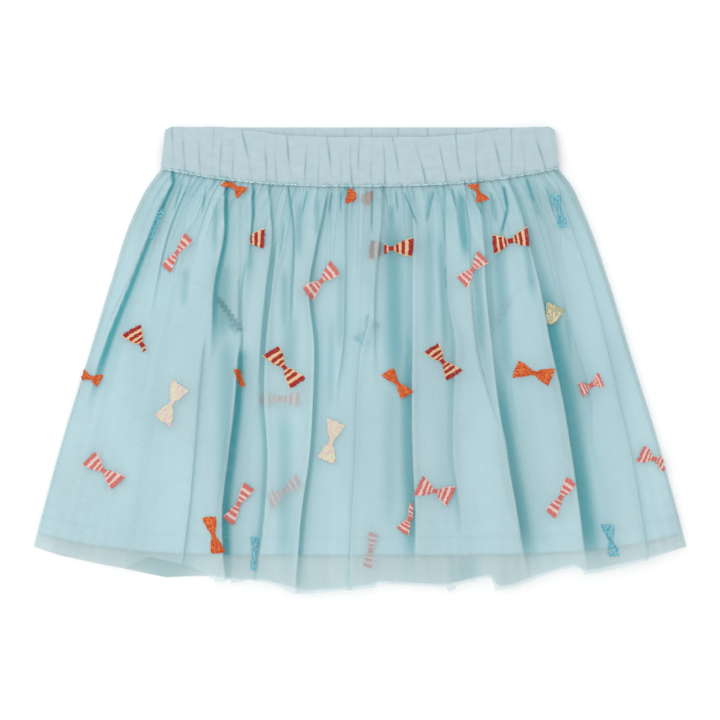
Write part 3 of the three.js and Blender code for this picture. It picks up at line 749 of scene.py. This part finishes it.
def top_of_fold(x, y):
    """1 on the cover side of each fold up to its edge, where the net stays free of the valleys'
    painted shade.
    """
    cover = np.zeros_like(x)
    for fold in FOLDS:
        _, off, _ = fold_profile(fold, x, y)
        wide = fold.wide * fold_opening(y)
        on_cover = ease((off + wide) / wide) * (off < fold.tuck * 0.35 * fold_opening(y))
        cover = np.maximum(cover, on_cover * fold_strength(fold, y))
    return np.clip(cover, 0, 1) * COVER_LIGHT


def lining_place(across, down):
    left = side_x(down, 1) + LINING_INSET
    right = side_x(down, 2) - LINING_INSET
    rise = LINING_HEM_RISE * np.abs(2 * across - 1) ** LINING_HEM_CURVE
    top = seam_y((2 * across - 1) * (WAIST_HALF - LINING_INSET)) - SEAM_GAP
    return left + (right - left) * across, top + (LINING_HEM + rise - top) * down


def lining_wave(across, down):
    edge = ease(np.minimum(across, 1 - across) * 8)
    wave = 0.5 - 0.5 * np.cos(across * LINING_WAVES * 2 * math.pi + 1.4 * np.sin(down * 2.2))
    return LINING_WAVE * wave * edge * ease(down * 2)


def lining_points(level, waves, columns):
    """Points of a lining's upper face. Waves is 1 with its soft waves and 0 without."""
    across, down = grid(columns, LINING_ROWS)
    x, y = lining_place(across, down)
    return np.stack([x, y, level + waves * lining_wave(across, down)], -1)


def back_net_points():
    """Points of the rippled back net, and its painted shade at each."""
    across, down = grid(BACK_COLUMNS, BACK_ROWS)
    x, y, from_side = panel_place(across, down, BACK_HEM)
    phase = across * BACK_RIPPLES + 0.8 * np.sin(down * 3)
    ripple = (0.5 + 0.5 * np.sin(phase * math.pi)) * ease(from_side / BACK_RIPPLE_CALM)
    z = BACK_NET_LEVEL - 0.35 + BACK_RIPPLE_HEIGHT * ripple * (0.4 + 0.6 * ease(down * 1.4))
    # painted shade in the gathers and along the ripples
    gathers = np.maximum(gather_shade(across, down), 0.25 * ridge(np.mod(phase, 2) - 1, 0.25))
    tone = BACK_GATHER_SHADE * gathers
    # painted shade of the back net where it shows past the front net's hem
    for middle, half in HEM_SHADES:
        shade = ridge(x - middle, half) ** 0.4 * ease((down - HEM_SHADE_FROM) / HEM_SHADE_GROWS)
        tone = np.maximum(tone, shade)
    return np.stack([x, y, z], -1), tone


def new_object(name, mesh, material=None):
    obj = bpy.data.objects.new(name, mesh)
    bpy.context.scene.collection.objects.link(obj)
    if material is not None:
        mesh.materials.append(material)
    return obj


def grid_mesh(name, points, material, tones=None):
    """A smooth mesh from a grid of points in millimetres, rows down and columns across."""
    rows, columns = points.shape[:2]
    index = np.arange(rows * columns).reshape(rows, columns)
    corners = (index[:-1, :-1], index[1:, :-1], index[1:, 1:], index[:-1, 1:])
    faces = np.stack(corners, -1).reshape(-1, 4)
    mesh = bpy.data.meshes.new(name)
    mesh.from_pydata((points.reshape(-1, 3) * MM).tolist(), [], faces.tolist())
    mesh.shade_smooth()
    for key, values in (tones or {}).items():
        layer = mesh.attributes.new(key, "FLOAT", "POINT")
        layer.data.foreach_set("value", np.asarray(values, np.float32).reshape(-1))
    mesh.update()
    return new_object(name, mesh, material)


def thicken(obj, thickness):
    """Gives a sheet its thickness below its upper face."""
    shell = obj.modifiers.new("thickness", "SOLIDIFY")
    shell.thickness = thickness * MM
    shell.offset = -1
    bpy.context.view_layer.objects.active = obj
    bpy.ops.object.select_all(action="DESELECT")
    obj.select_set(True)
    bpy.ops.object.modifier_apply(modifier=shell.name)
    return obj


def crease_depth(x, v, creases):
    """Depth of the waistband's creases, and the thin line of painted shade at the bottom of each.

    V is 0 at the seam and 1 at the top edge.
    """
    depth = np.zeros_like(x)
    line = np.zeros_like(x)
    for k, (top_x, seam_x, deep, half) in enumerate(creases):
        middle = seam_x + (top_x - seam_x) * v + 0.5 * np.sin(5 * v + k)
        reach = v if k % 3 else 1 - v
        fade = ease(1.3 - 1.15 * reach) * (0.75 + 0.25 * np.sin(9 * v + 2.3 * k))
        off = x - middle
        depth = np.maximum(depth, deep * fade * ridge(off, np.where(off < 0, 0.5, 1.1) * half))
        line = np.maximum(line, np.minimum(deep, 1.1) * fade * ridge(off, CREASE_LINE))
    return depth, line


def band_points(low, dip, creases, puff, seed):
    """Closed section of a waistband, from its seam up the outside and down the inside.

    Low is the level of its lower face, dip how far its top edge hangs, and puff how far it bulges.
    """
    across = np.linspace(0, 1, BAND_COLUMNS + 1)[None, :]
    rise = 0.5 - 0.5 * np.cos(np.linspace(0, 1, BAND_ROWS + 1) * math.pi)
    bulge = (1 - np.abs(2 * rise - 1) ** 7) ** 0.45
    v = np.concatenate([rise, rise[-2::-1]])[:, None]
    side = np.concatenate([bulge, -bulge[-2::-1]])[:, None]
    half = WAIST_HALF - BAND_TOP_TUCK * v
    corner = 1 - ease(np.minimum(across, 1 - across) * 2 * WAIST_HALF / BAND_CORNER)
    from_middle = (across - FRONT_DIP_MIDDLE) / FRONT_DIP_HALF
    hang = dip * ease(1 - from_middle ** 2)
    x = (2 * across - 1) * half + 0 * v
    seam = seam_y((2 * across - 1) * WAIST_HALF)
    depth, line = crease_depth(x, v, creases)
    wobble = 0.15 * np.sin(x * 0.21 + seed) + 0.08 * np.sin(x * 0.67 + 2 * seed)
    top = BAND_TOP - hang - 1.6 * corner - 0.12 * depth + wobble * ease(dip)
    y = seam + (top - seam) * v - 0.25 * depth * (1 - v)
    fine = 0.06 * np.sin(x * 0.55 + 3 * v + seed) + 0.03 * np.sin(x * 1.3 - 4 * v)
    pucker = 0.2 * np.sin(x * 2.4 + 2 * np.sin(x * 0.3)) * ease(1 - v / 0.16)
    outer = puff * (0.55 + 0.45 * np.sin(np.pi * v)) - CREASE_DEPTH * depth + fine + pucker
    middle = low + BAND_THICK / 2
    thick = BAND_THICK / 2 * (1 - 0.55 * corner) * (0.8 + 0.2 * ease(v / 0.22))
    z = middle + side * thick + np.where(side > 0, outer * side, 0)
    # the outer face carries painted shade in its creases
    return np.stack([x, y, z], -1), np.where(side > 0, 0.25 * depth + line, 0)


def new_material(name):
    """A new material, its node tree and its shader."""
    material = bpy.data.materials.new(name)
    material.use_nodes = True
    return material, material.node_tree, material.node_tree.nodes["Principled BSDF"]


def set_inputs(node, values):
    for key, value in values.items():
        node.inputs[key].default_value = value


def add_node(tree, kind, values=None, links=None, **settings):
    """A new node with its settings, the values of its inputs, and what is linked to them."""
    node = tree.nodes.new("ShaderNode" + kind)
    for key, value in settings.items():
        setattr(node, key, value)
    set_inputs(node, values or {})
    for key, socket in (links or {}).items():
        tree.links.new(socket, node.inputs[key])
    return node


def object_place(tree, scale, turn=0.0):
    """The object's own coordinates, scaled and turned about Z."""
    place = add_node(tree, "TexCoord").outputs["Object"]
    values = {"Scale": scale, "Rotation": (0, 0, turn)}
    return add_node(tree, "Mapping", values, {"Vector": place}).outputs["Vector"]


def attribute(tree, name):
    return add_node(tree, "Attribute", attribute_name=name).outputs["Fac"]


def noise(tree, place, scale, detail=2.0):
    values = {"Scale": scale, "Detail": detail}
    return add_node(tree, "TexNoise", values, {"Vector": place}).outputs["Fac"]


def ribs(tree, place, direction, scale, distortion):
    values = {"Scale": scale, "Distortion": distortion, "Detail": 1.0}
    wave = add_node(tree, "TexWave", values, {"Vector": place}, bands_direction=direction)
    return wave.outputs["Fac"]


def multiply(tree, first, second):
    product = add_node(tree, "Math", links={0: first, 1: second}, operation="MULTIPLY")
    return product.outputs["Value"]


def remap(tree, value, low, high, to_low, to_high):
    values = {"From Min": low, "From Max": high, "To Min": to_low, "To Max": to_high}
    return add_node(tree, "MapRange", values, {"Value": value}).outputs["Result"]


def mix_colours(tree, share, first, second):
    """A mix of two colours, each a fixed one or a socket, by a share from a socket."""
    mix = add_node(tree, "Mix", data_type="RGBA")
    sockets = {socket.identifier: socket for socket in mix.inputs}
    for key, value in (("A_Color", first), ("B_Color", second)):
        if isinstance(value, list):
            sockets[key].default_value = value
        else:
            tree.links.new(value, sockets[key])
    tree.links.new(share, sockets["Factor_Float"])
    return next(socket for socket in mix.outputs if socket.identifier == "Result_Color")


def dimmed(colour, share):
    """A share of an sRGB colour, as linear RGBA."""
    return linear(tuple(share * value for value in colour))


def add_bump(tree, shader, height, strength, distance):
    values = {"Strength": strength, "Distance": distance * MM}
    bump = add_node(tree, "Bump", values, {"Height": height})
    tree.links.new(bump.outputs["Normal"], shader.inputs["Normal"])


def net_mesh(tree):
    """Fine diamond mesh of the net: 0 in a hole, 1 on a thread."""
    place = object_place(tree, (1 / (NET_CELL * MM), 0.8 / (NET_CELL * MM), 0), math.radians(45))
    values = {"Scale": 1.0, "Randomness": 0.4}
    cells = add_node(tree, "TexVoronoi", values, {"Vector": place},
                     voronoi_dimensions="2D", feature="DISTANCE_TO_EDGE")
    return remap(tree, cells.outputs["Distance"], 0.1, 0.34, 1.0, 0.0)


def net_material(name, light):
    """See-through net, deeper where its shade is above 0, mostly painted shade, and paler where it is
    below, with a painted highlight along the folds' edges.
    """
    material, tree, shader = new_material(name)
    shade = attribute(tree, "shade")
    deeper = mix_colours(tree, shade, linear(light), linear(NET_DEEP_AND_SHADE))
    colour = mix_colours(tree, remap(tree, shade, 0.0, -0.5, 0.0, 1.0), deeper, linear(NET_EDGE_HIGHLIGHT))
    threads = net_mesh(tree)
    zones = noise(tree, object_place(tree, (26, 9, 20)), 1.0, 1.0)
    weave = multiply(tree, threads, remap(tree, zones, 0.4, 0.62, 0.14, 0.42))
    darker = mix_colours(tree, weave, colour, dimmed(light, 0.72))
    tree.links.new(darker, shader.inputs["Base Color"])
    set_inputs(shader, {"Roughness": 0.75, "Alpha": NET_ALPHA, "Specular IOR Level": 0.25,
                        "Sheen Weight": 0.15})
    add_bump(tree, shader, threads, 0.5, 0.15)
    return material


def weave_height(tree, pitch):
    """Crossing ribs of a plain weave."""
    scale = (0.314 / (pitch * MM),) * 3
    crossing = [ribs(tree, object_place(tree, scale), direction, 1.0, 0.6) for direction in "XY"]
    return multiply(tree, *crossing)


def cloth_material(name, light, deep, shade, pitch, mottle, sheen):
    """Woven cloth, from its own colour to a painted shade colour by its attribute shade, slightly
    mottled.
    """
    material, tree, shader = new_material(name)
    colour = mix_colours(tree, attribute(tree, shade), linear(light), linear(deep))
    mottles = noise(tree, object_place(tree, (140, 260, 140)), 1.0, 3.0)
    share = remap(tree, mottles, 0.3, 0.7, 0.0, mottle)
    mottled = mix_colours(tree, share, colour, dimmed(light, 0.86))
    height = weave_height(tree, pitch)
    woven = mix_colours(tree, remap(tree, height, 0, 1, 0.04, 0.0), mottled, dimmed(light, 0.7))
    tree.links.new(woven, shader.inputs["Base Color"])
    set_inputs(shader, {"Roughness": 0.82, "Specular IOR Level": 0.2, "Sheen Weight": sheen})
    add_bump(tree, shader, height, 0.15, 0.1)
    return material


def bow_thread_material(name, colour):
    """Embroidery thread: ribs along the stitches and lighter glints."""
    material, tree, shader = new_material(name)
    place = add_node(tree, "UVMap").outputs["UV"]
    stitches = ribs(tree, place, "Y", 0.55, 1.4)
    share = remap(tree, stitches, 0, 1, 0.45, 0.0)
    toned = mix_colours(tree, share, linear(colour), dimmed(colour, 0.72))
    glint = remap(tree, noise(tree, place, 1.1), 0.5, 0.75, 0.0, 0.45)
    light = tuple(value + 0.5 * (255 - value) for value in colour)
    glinting = mix_colours(tree, glint, toned, linear(light))
    tree.links.new(glinting, shader.inputs["Base Color"])
    set_inputs(shader, {"Roughness": 0.7, "Specular IOR Level": 0.3})
    add_bump(tree, shader, stitches, 0.6, 0.25)
    return material


def sewing_thread_material(name, colour):
    material, tree, shader = new_material(name)
    fuzz = noise(tree, object_place(tree, (1, 1, 1)), 900.0)
    toned = mix_colours(tree, fuzz, linear(colour), dimmed(colour, 0.8))
    tree.links.new(toned, shader.inputs["Base Color"])
    set_inputs(shader, {"Roughness": 0.6})
    add_bump(tree, shader, fuzz, 0.4, 0.1)
    return material


class Surface:
    """Heights of a mesh in millimetres, met from above or from below."""

    def __init__(self, obj):
        points = [v.co for v in obj.data.vertices]
        faces = [tuple(p.vertices) for p in obj.data.polygons]
        self.tree = BVHTree.FromPolygons(points, faces)

    def top(self, x, y, default=None):
        hit = self.tree.ray_cast(Vector((x * MM, y * MM, 0.1)), Vector((0, 0, -1)))[0]
        return default if hit is None else hit.z / MM

    def lowest(self, x, y):
        hit = self.tree.ray_cast(Vector((x * MM, y * MM, -0.1)), Vector((0, 0, 1)))[0]
        return None if hit is None else hit.z / MM


def bow_grid(length, width, seed, stripes):
    """Points of a bow in its own plane, and the thread of each face along it: 0 main, 1 second."""
    wing = (length - BOW_PINCH_LENGTH) / 2
    shares = np.linspace(1.35, 0.65, stripes) * np.where(np.arange(stripes) % 2 == 0, 1.15, 0.85)
    bounds = np.concatenate([[0], np.cumsum(shares) / shares.sum()]) * wing
    stations = [-length / 2 + b for b in bounds] + [length / 2 - b for b in bounds[::-1]]
    across = np.linspace(-1, 1, BOW_ROWS + 1)
    points = []
    for k, along in enumerate(stations):
        reach = max(abs(along) - BOW_PINCH_LENGTH / 2, 0) / wing
        half = BOW_PINCH_WIDTH / 2 + (width - BOW_PINCH_WIDTH) / 2 * reach ** BOW_FLARE
        jag = uneven(np.arange(BOW_ROWS + 1) * 3.1 + k * 17 + seed * 7) - 0.5
        size = 1.0 if k in (0, len(stations) - 1) else BOW_JAG
        bulge = BOW_BULGE * np.sign(along) * (1 - across ** 2) * reach
        slant = BOW_SLANT * across * half * reach
        row = (along + bulge + slant + size * jag, across * half * (1 + 0.07 * jag))
        points.append(np.stack(row, -1))
    kinds = [0 if k == stripes else k % 2 for k in range(len(stations) - 1)]
    return np.array(points), kinds


def is_second(stripes, kind, j, fleck):
    """Whether a face of a bow has the bow's second thread."""
    if stripes != STRIPED:
        return fleck < FLECKED
    return kind == 1 or (j in (0, BOW_ROWS - 1) and fleck > BORDER_BROKEN)


def settle(heights):
    """Heights of a stiff patch laid over the given ones. NaN is a place without a height."""
    for _ in range(BOW_STIFF):
        wide = np.pad(heights, 1, constant_values=np.nan)
        near = np.stack([wide[:-2, 1:-1], wide[2:, 1:-1], wide[1:-1, :-2], wide[1:-1, 2:]])
        count = np.maximum((~np.isnan(near)).sum(0), 1)
        heights = np.maximum(heights, np.where(np.isnan(near), 0, near).sum(0) / count)
    return heights


def lay_bow(bow, plane, height_at, raised):
    """Places of a bow's points on the net, with NaN as height where the bow isn't shown."""
    turn = math.radians(bow.turn)
    along, across = plane[..., 0], plane[..., 1]
    x = bow.x + along * math.cos(turn) - across * math.sin(turn)
    y = bow.y + along * math.sin(turn) + across * math.cos(turn)
    found = [height_at(bow, *place) for place in zip(x.ravel(), y.ravel())]
    heights = np.array([np.nan if z is None else z for z in found]).reshape(x.shape)
    side = math.copysign(1, raised)
    crown = BOW_CROWN * (1 - np.linspace(-1, 1, BOW_ROWS + 1) ** 6)
    z = side * settle(side * heights) + raised * (BOW_LIFT + crown)
    return np.stack([x, y, z], -1)


def make_bows(name, bows, height_at, raised, threads):
    """One mesh of embroidered bows, each laid on what height_at gives.

    Raised is 1 for bows above the net and negative for bows below it.
    """
    verts, faces, slots, uvs = [], [], [], []
    names = list(threads)
    for seed, bow in enumerate(bows):
        first, second, stripes = BOW_KINDS[bow.kind]
        plane, kinds = bow_grid(bow.length, bow.width, seed + bow.x, stripes)
        points = lay_bow(bow, plane, height_at, raised)
        shown = ~np.isnan(points[..., 2])
        index = np.full(shown.shape, -1)
        index[shown] = len(verts) + np.arange(shown.sum())
        verts.extend((points[shown] * MM).tolist())
        for k in range(plane.shape[0] - 1):
            for j in range(BOW_ROWS):
                corners = ((k, j), (k + 1, j), (k + 1, j + 1), (k, j + 1))
                if not all(shown[c] for c in corners):
                    continue
                fleck = float(uneven(k * 7.13 + j * 31.7 + seed * 3.3))
                if bow.kind == "blue" and fleck > 1 - WORN:
                    continue
                faces.append([int(index[c]) for c in corners])
                thread = second if is_second(stripes, kinds[k], j, fleck) else first
                slots.append(names.index(thread))
                uvs.extend([tuple(plane[c]) for c in corners])
    mesh = bpy.data.meshes.new(name)
    mesh.from_pydata(verts, [], faces)
    mesh.polygons.foreach_set("material_index", slots)
    layer = mesh.uv_layers.new(name="UVMap")
    layer.data.foreach_set("uv", np.array(uvs, np.float32).reshape(-1))
    mesh.shade_smooth()
    obj = new_object(name, mesh)
    for material in threads.values():
        mesh.materials.append(material)
    return obj


def on_face(surface):
    """Height for a bow on the net's upper face, none past its cut or off the net."""
    def height(bow, x, y):
        past_cut = (x - bow.cut) * bow.keep < 0
        if bow.lies == "under" or past_cut or y < bow.low or y >= seam_y(x) - 1.2:
            return None
        return surface.top(x, y)
    return height


def under_net(surface):
    """Height for a bow under the lowest layer of a net, none before its cut."""
    def height(bow, x, y):
        on_face_here = bow.keep and (x - bow.cut) * bow.keep >= 0
        if bow.lies in ("face", "half") or on_face_here:
            return None
        return surface.lowest(x, y)
    return height


def underside_bows():
    """Bows for the underside of the back net, which the photo doesn't show."""
    share_x, share_y, move_y = BACK_BOW_PLACE
    bows = []
    for bow in BOWS:
        x, y = bow.x * share_x, bow.y * share_y + move_y
        if bow.lies == "face" and bow.kind != "blue" and y > BACK_BOW_LOW:
            bows.append(bow._replace(x=x, y=y, turn=-bow.turn, lies="under"))
    return bows


def stitch_mesh(name, stitches, material):
    """Small rounded stitches: x, y, z, direction, length, width, each a low grain."""
    verts, faces = [], []
    sides = STITCH_SIDES
    rings = len(STITCH_RINGS)
    for x, y, z, turn, length, width in stitches:
        base = len(verts)
        cos, sin = math.cos(turn), math.sin(turn)
        for along, fat in STITCH_RINGS:
            for k in range(sides):
                angle = 2 * math.pi * k / sides
                off = math.cos(angle) * fat * width / 2
                up = math.sin(angle) * fat * width / 2 * STITCH_FLAT
                u = along * length
                place = (x + u * cos - off * sin, y + u * sin + off * cos, z + up)
                verts.append([value * MM for value in place])
        for ring in range(rings - 1):
            for k in range(sides):
                a = base + ring * sides + k
                b = base + ring * sides + (k + 1) % sides
                faces.append((a, b, b + sides, a + sides))
        faces.append([base + k for k in reversed(range(sides))])
        faces.append([base + (rings - 1) * sides + k for k in range(sides)])
    mesh = bpy.data.meshes.new(name)
    mesh.from_pydata(verts, [], faces)
    mesh.shade_smooth()
    return new_object(name, mesh, material)


def seam_edge(surface, material):
    """The net's light, frilled edge in the waistband's seam."""
    across = np.linspace(0, 1, SEAM_EDGE_COLUMNS + 1)
    x = (2 * across - 1) * (WAIST_HALF - 0.6)
    frill = 0.5 * uneven(np.floor(across * FRILLS)) + 0.35 * np.sin(x * 1.7) ** 2
    rows = [np.stack([x, seam_y(x) + 1.4, np.full_like(x, FRONT_SEAM_LEVEL)], -1)]
    for share in SEAM_EDGE_ROWS:
        y = seam_y(x) + 0.4 - share * (0.5 + frill)
        on_net = np.minimum(y, seam_y(x) - 0.2)
        tops = [surface.top(*place, FRONT_SEAM_LEVEL) for place in zip(x, on_net)]
        z = np.array(tops) + 0.15 + 0.15 * math.sin(math.pi * share)
        rows.append(np.stack([x, y, z], -1))
    return grid_mesh("seam_edge", np.array(rows), material)


def seam_stitches(surface, material):
    """Short loose threads across the seam, more of them in some places than in others."""
    stitches = []
    half = WAIST_HALF - 2
    for k in range(SEAM_THREADS):
        x = -half + 2 * half * (k + 0.7 * float(uneven(k + 5))) / SEAM_THREADS
        crowd = math.sin(x * 0.11) + math.sin(x * 0.29 + 2)
        if crowd < 1.6 * float(uneven(k + 21)) - 1.0:
            continue
        y = float(seam_y(x)) + 0.2 + 1.1 * float(uneven(k))
        z = surface.top(x, float(seam_y(x)) - 0.5, FRONT_SEAM_LEVEL) + 0.45
        turn = math.pi / 2 + 0.7 * (float(uneven(k + 9)) - 0.5)
        stitches.append((x, y, z, turn, 1.3 + 1.1 * float(uneven(k + 13)), 0.4))
    return stitch_mesh("seam_stitches", stitches, material)


def pocket_place(pocket, from_side, down):
    """Place on a pocket bag, by the shares from its outer to its inner edge and down."""
    outer = side_x(POCKET_TOP, pocket["side"]) + pocket["inwards"] * POCKET_SIDE
    foot = smooth(column(POCKET_FOOT, 0), column(POCKET_FOOT, 1), from_side)
    x = outer + (pocket["inner"] - outer) * from_side
    head = seam_y(x) - POCKET_TOP * (SEAM_SIDE - LINING_HEM)
    return x, head + (foot - head) * down


def pocket_face(x, y):
    """Level of a pocket bag's upper face, on the lining's waves."""
    down = np.clip((SEAM_MIDDLE - y) / (SEAM_MIDDLE - LINING_HEM), 0, 1)
    left = side_x(down, 1) + LINING_INSET
    right = side_x(down, 2) - LINING_INSET
    wave = lining_wave(np.clip((x - left) / (right - left), 0, 1), down)
    return FRONT_LINING_TOP + wave + POCKET_GAP + POCKET_THICK


def make_pocket(name, pocket, material):
    from_side, down = grid(80, 80)
    if pocket["inwards"] < 0:
        from_side = 1 - from_side
    x, y = pocket_place(pocket, from_side, down)
    rim = np.minimum(np.minimum(from_side, 1 - from_side), np.minimum(down, 1 - down))
    z = pocket_face(x, y) + POCKET_PUFF * ease(rim * 5)
    shade = dict(shade=lining_shade(x, y))
    return thicken(grid_mesh(name, np.stack([x, y, z], -1), material, shade), POCKET_THICK)


def pocket_stitches(name, pocket, material):
    """Zigzag overlock along the foot and a straight row up the inner edge."""
    slant = math.radians(-50) * pocket["inwards"]
    last = POCKET_STITCHES - 1
    zigzag = [(0.74 + 0.26 * k / last, 1.02, 0.7, slant + (0.9 if k % 2 else -0.9), 5.0, 1.6)
              for k in range(POCKET_STITCHES)]
    straight = [(0.985, 0.64 + 0.34 * k / last, 0.6, math.pi / 2, 1.9, 0.5)
                for k in range(POCKET_STITCHES)]
    stitches = []
    for from_side, down, raised, turn, length, width in zigzag + straight:
        place = pocket_place(pocket, np.array(from_side), np.array(down))
        x, y = (float(value) for value in place)
        stitches.append((x, y, float(pocket_face(x, y)) + raised, turn, length, width))
    return stitch_mesh(name, stitches, material)


def hem_stitches(material):
    stitches = []
    for k in range(HEM_STITCHES):
        place = (np.array((k + 0.5) / HEM_STITCHES), np.array(HEM_ROW))
        x, y = (float(value) for value in lining_place(*place))
        z = FRONT_LINING_TOP + float(lining_wave(*place)) + 0.15
        stitches.append((x, y, z, 0.0, 1.5, 0.5))
    return stitch_mesh("lining_hem_stitches", stitches, material)


def make_camera():
    data = bpy.data.cameras.new("camera")
    data.lens = CAMERA_LENS
    data.sensor_width = CAMERA_SENSOR
    distance = CAMERA_WIDTH * CAMERA_LENS / CAMERA_SENSOR
    camera = bpy.data.objects.new("camera", data)
    camera.location = (0, 0, (CAMERA_AIM_LEVEL + distance) * MM)
    bpy.context.scene.collection.objects.link(camera)
    bpy.context.scene.camera = camera


def make_light():
    world = bpy.data.worlds.new("studio")
    world.use_nodes = True
    set_inputs(world.node_tree.nodes["Background"], {"Color": (1, 1, 1, 1), "Strength": WORLD_LIGHT})
    bpy.context.scene.world = world
    data = bpy.data.lights.new("key", "AREA")
    data.energy = KEY_POWER
    data.size = KEY_SIZE * MM
    key = bpy.data.objects.new("key", data)
    key.location = [value * MM for value in KEY_PLACE]
    key.rotation_euler = (-key.location).to_track_quat("-Z", "Y").to_euler()
    bpy.context.scene.collection.objects.link(key)


def make_floor():
    material, _, shader = new_material("floor")
    set_inputs(shader, {"Base Color": linear(FLOOR_COLOUR), "Emission Color": (1, 1, 1, 1),
                        "Emission Strength": FLOOR_GLOW, "Roughness": 0.9})
    half = FLOOR_SIZE / 2
    corners = [(-half, -half), (half, -half), (half, half), (-half, half)]
    mesh = bpy.data.meshes.new("floor")
    mesh.from_pydata([(x * MM, y * MM, FLOOR_LEVEL * MM) for x, y in corners], [], [(0, 1, 2, 3)])
    new_object("floor", mesh, material)


def make_nets():
    points, tone = front_net_points()
    front = grid_mesh("front_net_cloth", points, net_material("net", NET_LIGHT), dict(shade=tone))
    points, tone = back_net_points()
    thin = net_material("net_at_back", BACK_NET_SHADED)
    return front, grid_mesh("back_net_cloth", points, thin, dict(shade=tone))


def make_linings():
    cloth = cloth_material("lining", LINING_LIGHT, LINING_SHADE_COLOUR, "shade", JERSEY_PITCH, 0.25, 0.1)
    points = lining_points(FRONT_LINING_TOP, 1.0, 360)
    shade = dict(shade=lining_shade(points[..., 0], points[..., 1]))
    front = grid_mesh("front_lining_cloth", points, cloth, shade)
    points = lining_points(BACK_LINING_LEVEL + LINING_THICK, 0.0, 180)
    back = grid_mesh("back_lining_cloth", points, cloth)
    return thicken(front, LINING_THICK), thicken(back, LINING_THICK)


def make_bands():
    cloth = cloth_material("band", BAND_COLOUR, BAND_CREASE_SHADE, "crease_shade", COTTON_PITCH, 0.3, 0.15)
    points, crease_shade = band_points(FRONT_BAND_LOW, FRONT_DIP, BAND_CREASES, 0.5, 1.7)
    front = grid_mesh("front_band_cloth", points, cloth, dict(crease_shade=crease_shade))
    upright = [(x, x, deep, half) for x, deep, half in BACK_CREASES]
    points, crease_shade = band_points(0.0, 0.0, upright, 0.3, 0.6)
    return front, grid_mesh("back_band_cloth", points, cloth, dict(crease_shade=crease_shade))


def main():
    scene = bpy.context.scene
    scene.view_settings.view_transform = "Standard"
    scene.cycles.transparent_max_bounces = 32
    make_camera()
    make_light()
    make_floor()

    stitch = sewing_thread_material("stitch", STITCH_COLOUR)
    overlock = sewing_thread_material("overlock", OVERLOCK_COLOUR)
    threads = {name: bow_thread_material(name, colour) for name, colour in THREAD_COLOURS.items()}
    pocket_light = tuple(0.98 * value for value in LINING_LIGHT)
    pocket_cloth = cloth_material("pocket_cloth", pocket_light, LINING_SHADE_COLOUR, "shade", JERSEY_PITCH,
                                  0.25, 0.1)

    net_front, net_back = make_nets()
    lining_front, lining_back = make_linings()
    band_front, band_back = make_bands()
    surface = Surface(net_front)
    underside = under_net(Surface(net_back))
    bows_face = make_bows("bows", BOWS, on_face(surface), 1.0, threads)
    bows_under = make_bows("bows_under_net", BOWS, under_net(surface), -1.0, threads)
    bows_back = make_bows("bows_at_back", underside_bows(), underside, BACK_BOW_RAISED, threads)
    seam = seam_stitches(surface, stitch)
    edge = seam_edge(surface, stitch)
    hem = hem_stitches(stitch)

    sheets = (
        (net_front, "net_front", "net", (0.56, 0.26)),
        (net_back, "net_back", "net", (0.42, 0.26)),
        (lining_front, "lining_front", "lining", (0.36, 0.24)),
        (lining_back, "lining_back", "lining", (0.36, 0.24)),
        (band_front, "waistband_front", "band", (0.26, 0.07)),
        (band_back, "waistband_back", "band", (0.26, 0.07)),
    )
    for obj, node, slot, flat in sheets:
        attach(obj, "root")
        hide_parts(node)
    for name, pocket in POCKETS.items():
        obj = make_pocket(name + "_cloth", pocket, pocket_cloth)
        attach(obj, "root")
        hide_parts(name)
        thread = overlock if name == "pocket_left" else stitch
        rows = pocket_stitches(name + "_stitches", pocket, thread)
        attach(rows, "root")
    sewn = (
        (bows_face, "net"),
        (bows_under, "net"),
        (bows_back, "net"),
        (seam, "band"),
        (edge, "band"),
        (hem, "lining"),
    )
    for obj, slot in sewn:
        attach(obj, "root")


main()
